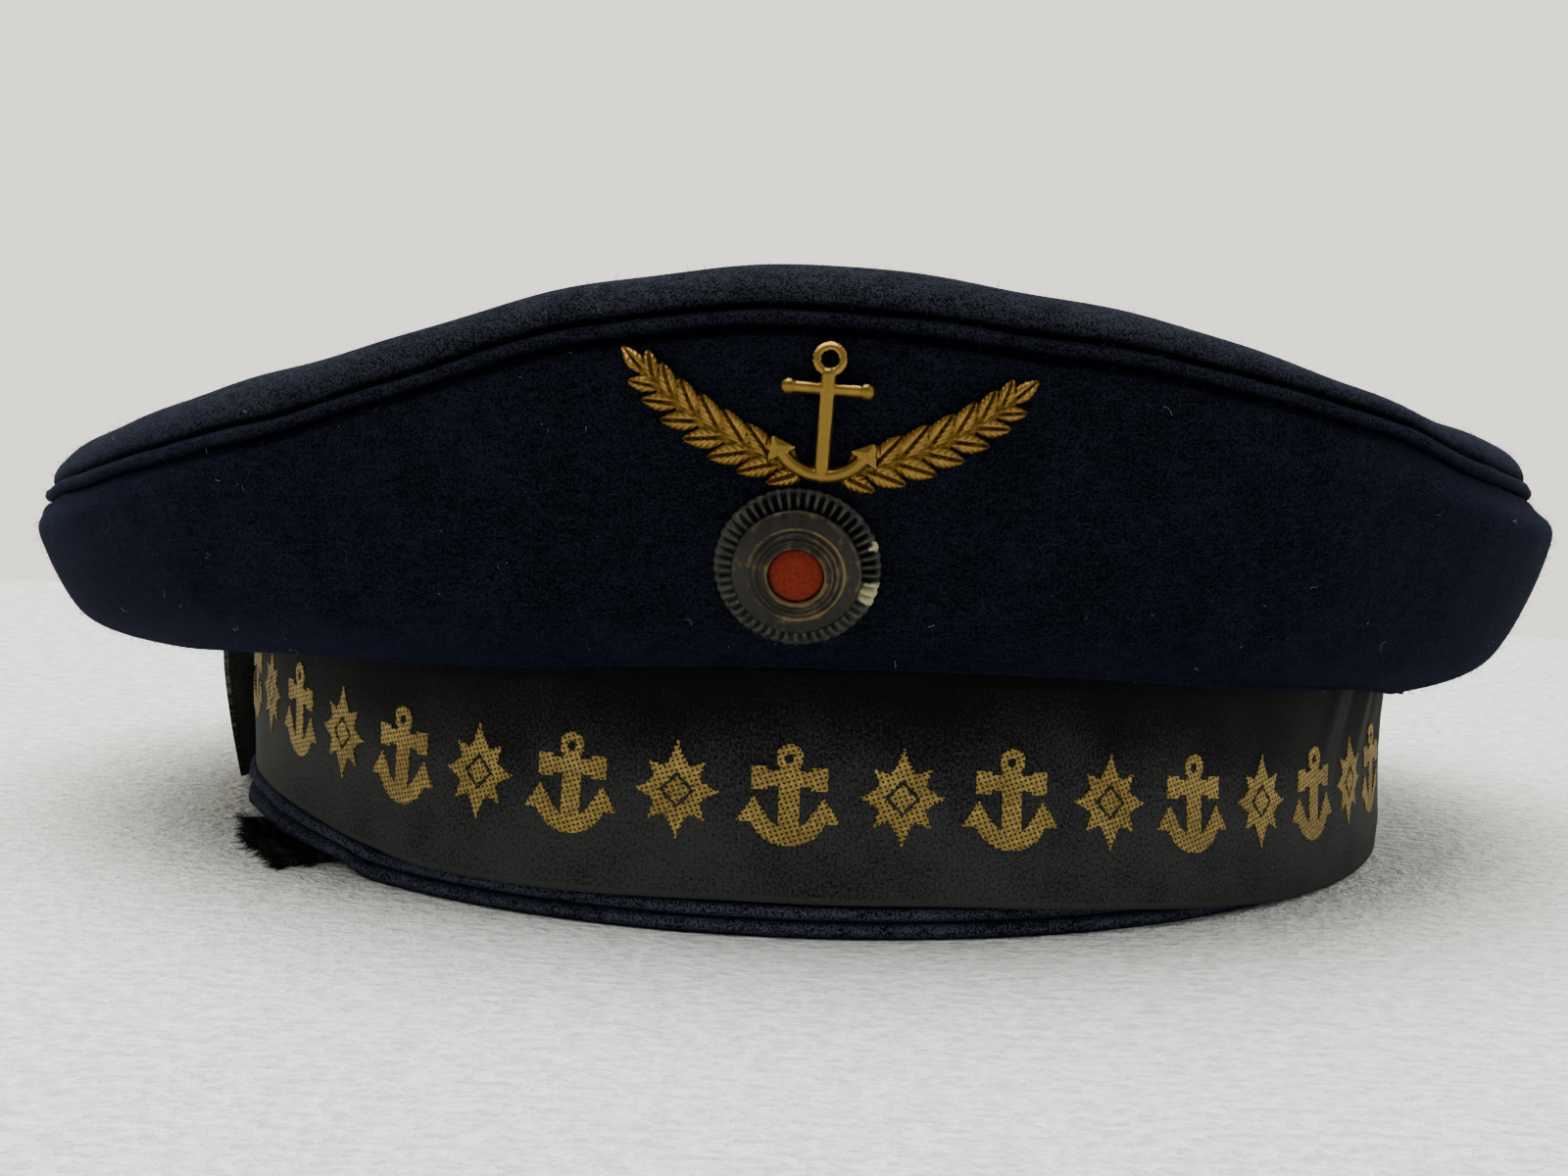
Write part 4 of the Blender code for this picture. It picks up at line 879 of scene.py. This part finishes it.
def leaf_relief(x, y, at, turn, length, width):
    """Distance outside a leaf and its height there: a dome with a sunk midrib and slanting veins."""
    c, s = math.cos(turn), math.sin(turn)
    along = ((x - at[0]) * c + (y - at[1]) * s) / length
    across = -(x - at[0]) * s + (y - at[1]) * c
    half = 0.5 * width * np.sin(math.pi * np.clip(along, 0, 1) ** 0.85) ** 0.75
    outside = np.where((along > 0) & (along < 1), np.abs(across) - half, FAR_OFF)
    dome = np.sqrt(np.clip(1 - (across / np.maximum(half, 0.05)) ** 2, 0, 1))
    rib = 0.45 * np.exp(-((across / 0.2) ** 2))
    beside_rib = 1 - np.exp(-((across / 0.35) ** 2))
    veins = 0.1 * beside_rib * np.cos(2 * math.pi * (along * length - np.abs(across)) / 0.85)
    return outside, 0.55 + 0.75 * dome * np.sin(math.pi * np.clip(along, 0, 1)) ** 0.4 - rib + veins * dome


def bar_relief(distance, radius):
    """Distance outside a bar, of which the distance from its middle line is known, and its round height."""
    return distance - radius, ANCHOR_DEPTH + np.sqrt(np.clip(radius**2 - distance**2, 0, None)) - 0.15


def from_segment(x, y, a, b):
    """Distance from a straight line between two points."""
    ax, ay, bx, by = *a, *b
    t = np.clip(((x - ax) * (bx - ax) + (y - ay) * (by - ay)) / ((bx - ax) ** 2 + (by - ay) ** 2), 0, 1)
    return np.hypot(x - ax - t * (bx - ax), y - ay - t * (by - ay))


x, y = np.meshgrid(np.arange(-27, 27, BADGE_CELL), np.arange(-9.5, 10.5, BADGE_CELL))
forms = []
for side in (-1, 1):
    for place in np.linspace(0, SPRAY_LENGTH, 26):
        px, py, _ = spray_point(place, side)
        stem = 0.8 - 0.4 * place / SPRAY_LENGTH
        forms.append((np.hypot(x - px, y - py) - stem - 0.25, 0.75 + 0 * x))
    for along_mm, length, width in LEAF_ROWS:
        for inner_leaf in (0, 1):
            px, py, slope = spray_point(along_mm - LEAF_ROOT * length + LEAF_STAGGER * inner_leaf, side)
            turn = slope + side * LEAF_SPREAD * (2 * inner_leaf - 1)
            forms.append(leaf_relief(x, y, (px, py), turn, length, width))
    px, py, slope = spray_point(SPRAY_LENGTH - 1.1, side)
    forms.append(leaf_relief(x, y, (px, py), slope, 4.4, 2.2))
for foot, head, radius in ANCHOR_BARS:
    forms.append(bar_relief(from_segment(x, y, foot, head), radius))
for side in (-1, 1):
    forms.append(bar_relief(np.hypot(x - side * KNOB_AT[0], y - KNOB_AT[1]), KNOB_RADIUS))
forms.append(bar_relief(np.abs(np.hypot(x, y - RING_AT) - RING_RADIUS), RING_THICK))
arm_angle = np.arctan2(x, -(y - ARM_MIDDLE))
arm = np.abs(np.hypot(x, y - ARM_MIDDLE) - ARM_RADIUS)
forms.append(bar_relief(np.where(np.abs(arm_angle) < ARM_END, arm, FAR_OFF), ARM_THICK))
for side in (-1, 1):
    tip = (side * ARM_RADIUS * math.sin(FLUKE_AT), ARM_MIDDLE - ARM_RADIUS * math.cos(FLUKE_AT))
    ahead = (x - tip[0]) * side * math.cos(FLUKE_AT) + (y - tip[1]) * math.sin(FLUKE_AT)
    beside = (x - tip[0]) * side * math.sin(FLUKE_AT) - (y - tip[1]) * math.cos(FLUKE_AT)
    fluke = np.maximum(np.abs(beside) + 0.75 * ahead - 1.3, -ahead - 0.8)
    forms.append((fluke, ANCHOR_DEPTH + 0.55 + 0.4 * np.clip(-fluke, 0, 1)))
outside = np.minimum.reduce([form[0] for form in forms])
height = np.maximum.reduce([np.where(form[0] < 0.12, form[1], 0.0) for form in forms])
height = np.maximum(height, PLATE_THICK)

# The outline is smoothed: points within a cell of it are moved onto it, down the slope of the distance
gy, gx = np.gradient(outside, BADGE_CELL)
steep = np.maximum(gx**2 + gy**2, 0.25)
near = np.abs(outside) < 0.75 * BADGE_CELL
x = np.where(near, x - outside * gx / steep, x)
y = np.where(near, y - outside * gy / steep, y)
inside = outside < 0.02
mask = inside[:-1, :-1] & inside[1:, :-1] & inside[:-1, 1:] & inside[1:, 1:]
mask = without_corner_contacts(mask)
c, s = math.cos(BADGE_TILT), math.sin(BADGE_TILT)
px, pz = BADGE_X + (x * c - y * s) * MM, BADGE_Z + (x * s + y * c) * MM
back = panel_front(px, pz) - BADGE_OFF
top = np.stack([px, back - height * MM, pz], axis=-1)
bottom = np.stack([px, back, pz], axis=-1)


def gilt_brass(name):
    """Stamped brass, fire-gilt: warm and satin, dark where it lies low: dirt in the hollows, and painted
    shade.

    Height is read from the distance in front of the badge's back, kept in the attribute depth.
    """
    made = new_material(name)
    depth = node(made, "Attribute", {"attribute_name": "depth"}).outputs["Fac"]
    place = node(made, "TexCoord").outputs["Object"]
    worn = node(made, "TexNoise", {"Scale": 1 / (1.6 * MM), "Detail": 5, "Roughness": 0.68, "Vector": place})
    level = node(made, "Math", {"operation": "MULTIPLY_ADD", 0: worn, 1: 0.35, 2: depth})
    stops = [(0.36, "#120b03"), (0.57, "#5a421a"), (0.78, "#8a6d36"), (1.0, "#6c5626")]
    dull = {"From Min": 0.3, "From Max": 0.75, "To Min": 0.55, "To Max": 0.35, "Value": level}
    pits = node(made, "TexNoise", {"Scale": 1 / (0.3 * MM), "Detail": 3, "Vector": place})
    shader = {
        "Metallic": 1.0, "Base Color": node(made, "ValToRGB", {"stops": stops, "Fac": level}),
        "Roughness": node(made, "MapRange", dull),
        "Normal": node(made, "Bump", {"Strength": 0.2, "Distance": 0.03 * MM, "Height": pits}),
    }
    node(made, "OutputMaterial", {"Surface": node(made, "BsdfPrincipled", shader)})
    return made


badge = raised_mesh("badge_stamped", mask, top, bottom, gilt_brass("brass, stamped and gilt"))
depth = np.empty(3 * len(badge.data.vertices), np.float32)
badge.data.vertices.foreach_get("co", depth)
depth = depth.reshape(-1, 3)
mark(badge, "depth", (panel_front(depth[:, 0], depth[:, 2]) - depth[:, 1]) / BADGE_DEPTH)
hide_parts("cap_badge")

# ---------------------------------------------------------------- cockade
# A round cockade of painted metal: a pleated disc, a stepped boss pressed onto it and red felt in the boss.
# The paint has gone grey and dull, and the boss is worn to the brass on its edges, with glints painted onto
# that brass; the gaps between pleats and steps are painted dark as shade.

COCKADE_X, COCKADE_Z = 6.3 * MM, 50.2 * MM
COCKADE_RADIUS = 10.5 * MM
COCKADE_FLUTES = 50
COCKADE_LEAN = math.radians(15.0)
FLUTE = 0.35

up = np.array([0, -math.sin(COCKADE_LEAN), math.cos(COCKADE_LEAN)])
out = np.array([0, -math.cos(COCKADE_LEAN), -math.sin(COCKADE_LEAN)])
right = np.array([1.0, 0, 0])
cockade_centre = np.array([COCKADE_X, 0, COCKADE_Z])
cockade_centre[1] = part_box("cockade_disc")[1].y - COCKADE_RADIUS * math.sin(COCKADE_LEAN) + 0.1 * MM


def turned(name, angles, section, finish, ring=False):
    """A body through circles at the section's (radius, depth) pairs in mm, set on the leaning panel."""
    rings = []
    for radius, deep in section:
        radius, deep = np.broadcast_to(radius, len(angles)), np.broadcast_to(deep, len(angles))
        plan = np.cos(angles)[:, None] * right + np.sin(angles)[:, None] * up
        rings.append(cockade_centre + MM * (radius[:, None] * plan + deep[:, None] * out))
    return surface(name, np.array(rings), finish, ring=ring)


def old_metal(name, dark, light, worn_to, metallic, scratches, chips=()):
    """Painted metal gone dull: a mottled film, rubbed to the metal in spots and where worn says, with pits.

    Where the attribute shut_in says so, as between two pleats, it is painted black as shade. On the boss,
    worn also paints glints as bare brass. chips are places in metres, each with a radius, where a pale crust
    has grown under the paint.
    """
    made = new_material(name)
    place = node(made, "TexCoord").outputs["Object"]
    noise = {"Scale": 1 / (1.4 * MM), "Detail": 5, "Roughness": 0.65, "Vector": place}
    mottle = node(made, "TexNoise", noise)
    rubbed = node(made, "TexNoise", noise | {"Scale": 1 / (2.6 * MM), "Detail": 6, "Roughness": 0.7})
    film = node(made, "ValToRGB", {"stops": [(0.35, dark), (0.65, light)], "Fac": mottle})
    edges = node(made, "Attribute", {"attribute_name": "worn"}).outputs["Fac"]
    rubbing = node(made, "Math", {"operation": "MULTIPLY_ADD", 0: edges, 1: 0.35, 2: rubbed})
    bare = node(made, "MapRange", {"From Min": 0.56, "From Max": 0.78, "To Max": scratches, "Value": rubbing})
    colour = node(made, "Mix", {"data_type": "RGBA", 0: bare, 6: film, 7: linear(worn_to)}).outputs[2]
    flat = node(made, "Mapping", {"Scale": (1, 0, 1), "Vector": place})
    for at, radius in chips:
        away = node(made, "VectorMath", {"operation": "DISTANCE", 0: flat, 1: at}).outputs["Value"]
        ragged = node(made, "Math", {"operation": "MULTIPLY_ADD", 0: mottle, 1: radius * 1.2, 2: away})
        crust = {"From Min": radius * 1.75, "From Max": radius * 1.5, "Value": ragged}
        crust = node(made, "MapRange", crust)
        mixed = {"data_type": "RGBA", 0: crust, 6: colour, 7: linear("#8f8a68")}
        colour = node(made, "Mix", mixed).outputs[2]
        left = node(made, "Math", {"operation": "SUBTRACT", 0: 1.0, 1: crust})
        metallic = node(made, "Math", {"operation": "MULTIPLY", 0: metallic, 1: left})
    gap_shade = node(made, "Attribute", {"attribute_name": "shut_in"}).outputs["Fac"]
    colour = node(made, "Mix", {"data_type": "RGBA", 0: gap_shade, 6: colour, 7: linear("#030303")}).outputs[2]
    pits = node(made, "TexNoise", {"Scale": 1 / (0.35 * MM), "Detail": 3, "Vector": place})
    dull = {"From Min": 0.35, "From Max": 0.65, "To Min": 0.32, "To Max": 0.6, "Value": mottle}
    shader = {
        "Base Color": colour, "Metallic": metallic, "Roughness": node(made, "MapRange", dull),
        "Specular IOR Level": 0.3,
        "Normal": node(made, "Bump", {"Strength": 0.35, "Distance": 0.05 * MM, "Height": pits}),
    }
    node(made, "OutputMaterial", {"Surface": node(made, "BsdfPrincipled", shader)})
    return made


DISC_COLUMNS, BOSS_COLUMNS, FELT_COLUMNS = 12 * COCKADE_FLUTES, 160, 96
a = np.arange(DISC_COLUMNS) * 2 * math.pi / DISC_COLUMNS
pleat = np.abs(np.sin(0.5 * COCKADE_FLUTES * a)) ** 0.8 * 2 - 1
DISC_SECTION = (  # radius and depth in mm, and how much of a pleat each carries in radius and in depth
    (0.4, 0.0, 0, 0), (10.0, 0.0, 0, 0), (10.3, 0.25, 0.5, 0.1), (10.35, 0.5, 0.6, 0.1),
    (10.15, 0.8, 0.5, 0.1), (9.9, 0.92, 0.3, 0.5), (9.7, 0.98, 0.1, 0.95), (9.2, 1.1, 0, 1.0),
    (8.6, 1.18, 0, 0.97), (8.0, 1.22, 0, 0.95), (7.5, 1.22, 0, 0.9), (7.0, 1.2, 0, 0.5), (0.4, 1.2, 0, 0),
)
section = [(r + 0.45 * FLUTE * e * pleat, d + FLUTE * f * pleat) for r, d, e, f in DISC_SECTION]
CRUSTS = (((15.6 * MM, 0, 46.9 * MM), 1.5 * MM), ((15.7 * MM, 0, 53.0 * MM), 0.7 * MM))
TARNISHED = old_metal(
    "painted metal, tarnished", "#121312", "#383934", "#6f6c58", metallic=0.6, scratches=0.4, chips=CRUSTS
)
disc = turned("cockade_pleats", a, section, TARNISHED)
# Over the top and down the +X side, where the pleats stand open, the gaps between thin ridges are painted
# black as shade. Round the rest, where they are pressed flat, a little shade is painted between them.
OPEN_TOWARDS, OPEN_HALF = math.radians(62), math.radians(82)
deep_shade = smooth_step((np.cos(a - OPEN_TOWARDS) - math.cos(OPEN_HALF)) / 0.3)
between = deep_shade * np.clip((0.9 - pleat) / 0.3, 0, 1) + (1 - deep_shade) * 0.55 * np.clip(-0.1 - pleat, 0, 1)
mark(disc, "shut_in", [row[3] * between for row in DISC_SECTION])
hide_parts("cockade_disc")

BOSS_SECTION = (  # radius and depth in mm, how far the paint has worn off to the brass, where glints are painted too, and how much painted shade it gets
    (3.47, 1.95, 0.0, 0.8), (3.47, 3.2, 0.0, 0.5), (3.5, 3.9, 1.0, 0.0), (3.62, 4.2, 1.3, 0.0),
    (3.85, 4.3, 0.4, 0.1), (4.1, 4.22, 0.2, 0.3), (4.3, 3.95, 0.2, 0.7), (4.4, 3.85, 0.3, 0.5),
    (4.55, 3.9, 0.5, 0.1), (4.7, 3.72, 0.2, 0.6), (4.85, 3.6, 0.2, 0.7), (5.0, 3.72, 0.3, 0.4),
    (5.2, 3.8, 0.6, 0.1), (5.35, 3.66, 0.3, 0.5), (5.5, 3.4, 0.2, 0.7), (5.75, 3.3, 0.4, 0.5),
    (5.98, 3.38, 1.2, 0.0), (6.15, 3.32, 0.3, 0.1), (6.4, 3.24, 0.0, 0.0), (6.8, 3.1, 0.0, 0.0),
    (7.4, 2.9, 0.0, 0.0), (7.8, 2.74, 0.4, 0.0), (8.1, 2.45, 0.1, 0.2), (8.05, 1.95, 0.0, 0.8),
)
a = np.arange(BOSS_COLUMNS) * 2 * math.pi / BOSS_COLUMNS
BOSS_METAL = old_metal(
    "brass, painted and worn", "#0f0e0c", "#211e18", "#65532f", metallic=0.5, scratches=0.8
)
boss = turned("cockade_steps", a, [row[:2] for row in BOSS_SECTION], BOSS_METAL, ring=True)
# Painted glints: the worn brass is painted brightest at the lip's foot, and on the steps round it towards +X
glint_side = [math.radians(-90 if row[0] < 4.2 else 15) for row in BOSS_SECTION]
mark(boss, "worn", [row[2] * (0.6 + 0.4 * np.cos(a - side)) for row, side in zip(BOSS_SECTION, glint_side)])
mark(boss, "shut_in", np.repeat([row[3] for row in BOSS_SECTION], len(a)))
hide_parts("cockade_boss")


def red_felt(name):
    """Red felt pressed into the boss: matt, orange-red, with a fibrous grain."""
    made = new_material(name)
    place = node(made, "TexCoord").outputs["Object"]
    wool = node(made, "TexNoise", {"Scale": 1 / (0.5 * MM), "Detail": 4, "Roughness": 0.7, "Vector": place})
    shader = {
        "Base Color": node(made, "ValToRGB", {"stops": [(0.3, "#481006"), (0.7, "#72200e")], "Fac": wool}),
        "Roughness": 0.95, "Specular IOR Level": 0.2, "Sheen Weight": 0.1, "Sheen Tint": linear("#ff9a70"),
        "Normal": node(made, "Bump", {"Strength": 0.5, "Distance": 0.1 * MM, "Height": wool}),
    }
    node(made, "OutputMaterial", {"Surface": node(made, "BsdfPrincipled", shader)})
    return made


CENTRE_SECTION = (  # radius and depth in mm
    (0.2, 4.1), (0.8, 4.08), (1.5, 4.02), (2.2, 3.92), (2.8, 3.78), (3.2, 3.6), (3.42, 3.3), (3.42, 1.95),
    (0.3, 1.95),
)
a = np.arange(FELT_COLUMNS) * 2 * math.pi / FELT_COLUMNS
centre = turned("cockade_felt", a, CENTRE_SECTION, red_felt("red felt"))
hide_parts("cockade_centre")

# ---------------------------------------------------------------- nap and lint
# Wool fibres that stand out of the melton and soften its outline, and pale lint that the wool has caught.
# Both are drawn two to four times as thick as real fibres, so that they show.


def scattered(rows, count, seed):
    """Random places on a grid whose columns close round the cap, even by area, and the normals there."""
    rng = np.random.default_rng(seed)
    down, around = rows[1:] - rows[:-1], np.roll(rows, -1, axis=1) - rows
    area = np.linalg.norm(np.cross(down, around[:-1]), axis=2)
    cell = rng.choice(area.size, count, p=area.ravel() / area.sum())
    i, j = np.unravel_index(cell, area.shape)
    u, v = rng.random((2, count, 1))
    place = rows[i, j] + u * down[i, j] + v * around[i, j]
    return place, face_normals(rows)[i, j]


def laid_down(normals, lift, seed):
    """A direction for each normal that lies along the surface, and rises off it by up to lift."""
    rng = np.random.default_rng(seed)
    flat = np.cross(normals, rng.normal(size=normals.shape))
    flat /= np.linalg.norm(flat, axis=1, keepdims=True)
    return flat + normals * lift * rng.random((len(normals), 1))


WOOL_FIBRE = plain("wool fibres, navy", "#1f2638", roughness=0.8, specular=0.15)
LINT = plain("cotton lint", "#74777b", roughness=0.9, specular=0.1)
NAP = (  # name, the rows that show, number of fibres, longest in mm, CAD slot
    ("nap_side", side_rows[4:-12], 8500, 1.5, "navy_wool"),
    ("nap_top", top_rows[4:-12], 8500, 1.3, "navy_wool_top"),
    ("nap_piping", piping_rings, 1500, 1.0, "navy_piping"),
    ("nap_welt", welt_rings[4:-2], 1800, 1.2, "welt_wool"),
)
for seed, (name, rows, count, longest, slot) in enumerate(NAP):
    roots, normals = scattered(rows, count, seed)
    length = longest * MM * np.random.default_rng(seed + 10).uniform(0.4, 1, count)
    ahead = laid_down(normals, lift=1.3, seed=seed + 20)
    made = fibres(
        name, roots, ahead, length, radius=0.028 * MM, loops=0.25, steps=3, finish=WOOL_FIBRE, seed=seed + 30
    )

SPECKS = (  # name, the rows that show, number of specks, longest in mm before the power, seed, CAD slot
    ("lint_side", side_rows[8:-16], 150, 1.45, 50, "navy_wool"),
    ("lint_top", top_rows[20:-16], 90, 1.4, 60, "navy_wool_top"),
)
for name, rows, count, longest, seed, slot in SPECKS:
    roots, normals = scattered(rows, count, seed)
    length = MM * np.random.default_rng(seed + 1).uniform(0.25, longest, count) ** 1.8  # most are short
    ahead = laid_down(normals, lift=0.25, seed=seed + 2)
    roots = roots + normals * 0.1 * MM  # it lies on the nap
    made = fibres(
        name, roots, ahead, length, radius=0.045 * MM, loops=0.9, steps=9, finish=LINT, seed=seed + 3
    )

# ---------------------------------------------------------------- room
# A pale laminate table top whose far edge shows behind the cap, a plain wall, a large soft light overhead, a
# weaker one like a window at the right, and the camera at the photograph's angle.

TABLE_EDGE = 0.268  # where the table ends behind the cap
ROOM_HALF = 4.0
WALL_AT, WALL_HALF, WALL_FOOT, WALL_TOP = 2.2, 5.0, -3.0, 4.0
FLOOR_DROP = -0.001  # what lies beyond the table's edge is a little lower


def flat_sheet(name, corners, finish):
    """A rectangle of the room, which isn't a part of the cap."""
    mesh = bpy.data.meshes.new(name)
    mesh.from_pydata(corners, [], [(0, 1, 2, 3)])
    mesh.materials.append(finish)
    made = bpy.data.objects.new(name, mesh)
    bpy.context.scene.collection.objects.link(made)
    return made


def level_sheet(name, near, far, z, finish):
    """A level rectangle as wide as the room, between two places in depth."""
    left, right = -ROOM_HALF, ROOM_HALF
    return flat_sheet(name, [(left, near, z), (right, near, z), (right, far, z), (left, far, z)], finish)


# Pressed laminate: off-white and satin, with a pebbled face whose grain is drawn out sideways
laminate = new_material("laminate, pale")
place = node(laminate, "TexCoord").outputs["Object"]
pebbled = {"Scale": 1 / (1.8 * MM), "Detail": 3, "Roughness": 0.65, "Vector": place}
pebbles = node(laminate, "TexNoise", pebbled)
drawn = node(laminate, "Mapping", {"Scale": (1 / (4.5 * MM), 1 / (2.6 * MM), 1), "Vector": place})
streaks = node(laminate, "TexNoise", {"Scale": 1, "Detail": 4, "Roughness": 0.65, "Vector": drawn})
grain = node(laminate, "Math", {"operation": "ADD", 0: pebbles, 1: streaks})
share = node(laminate, "MapRange", {"From Min": 0.82, "From Max": 1.16, "Value": grain})
shader = {
    "Base Color": node(laminate, "ValToRGB", {"stops": [(0.0, "#cdcfca"), (1.0, "#f8f9f6")], "Fac": share}),
    "Roughness": 0.55,
    "Normal": node(laminate, "Bump", {"Strength": 1.0, "Distance": 1.6 * MM, "Height": grain}),
}
node(laminate, "OutputMaterial", {"Surface": node(laminate, "BsdfPrincipled", shader)})

# Emulsion paint on a wall too far off to show anything but its even light
paint = new_material("emulsion paint, evenly lit")
glow = node(paint, "Emission", {"Color": linear("#fbf7e8"), "Strength": 1.8})
node(paint, "OutputMaterial", {"Surface": glow})

table_top = level_sheet("table_top", -ROOM_HALF, TABLE_EDGE, 0, laminate)
corners = ((-WALL_HALF, WALL_FOOT), (WALL_HALF, WALL_FOOT), (WALL_HALF, WALL_TOP), (-WALL_HALF, WALL_TOP))
wall_sheet = flat_sheet("wall", [(x, WALL_AT, z) for x, z in corners], paint)
beyond = level_sheet("beyond_table", TABLE_EDGE, WALL_AT, FLOOR_DROP, paint)

world = bpy.data.worlds.new("studio")
bpy.context.scene.world = world
world.use_nodes = True
world.node_tree.nodes["Background"].inputs["Color"].default_value = linear("#fbf9f2")
world.node_tree.nodes["Background"].inputs["Strength"].default_value = 0.65


def area_light(name, at, size, power, colour, towards):
    """A square soft light that faces a point."""
    data = bpy.data.lights.new(name, "AREA")
    data.color = linear(colour)[:3]
    data.size = size
    data.energy = power
    made = bpy.data.objects.new(name, data)
    made.location = at
    way = np.array(towards) - np.array(at)
    made.rotation_euler = (math.acos(-way[2] / np.linalg.norm(way)), 0, math.atan2(-way[0], way[1]))
    bpy.context.scene.collection.objects.link(made)


area_light("ceiling", (-0.2, 0.05, 1.5), size=1.5, power=64, colour="#ffffff", towards=(0, 0, 0))
area_light("window", (1.3, -0.3, 0.7), size=0.9, power=2.2, colour="#d8e6ff", towards=(0.1, 0, 0.03))

CAMERA_AT = (0.0258, -0.5379, 0.0938)
CAMERA_YAW, CAMERA_PITCH, CAMERA_ROLL = (math.radians(v) for v in (-2.86, 6.28, 1.84))
camera_data = bpy.data.cameras.new("photograph")
camera_data.sensor_width = 36
camera_data.lens = 78.75
camera = bpy.data.objects.new("photograph", camera_data)
camera.matrix_world = (
    Matrix.Translation(CAMERA_AT)
    @ Matrix.Rotation(-CAMERA_YAW, 4, "Z")
    @ Matrix.Rotation(0.5 * math.pi - CAMERA_PITCH, 4, "X")
    @ Matrix.Rotation(CAMERA_ROLL, 4, "Z")
)
bpy.context.scene.collection.objects.link(camera)
bpy.context.scene.camera = camera
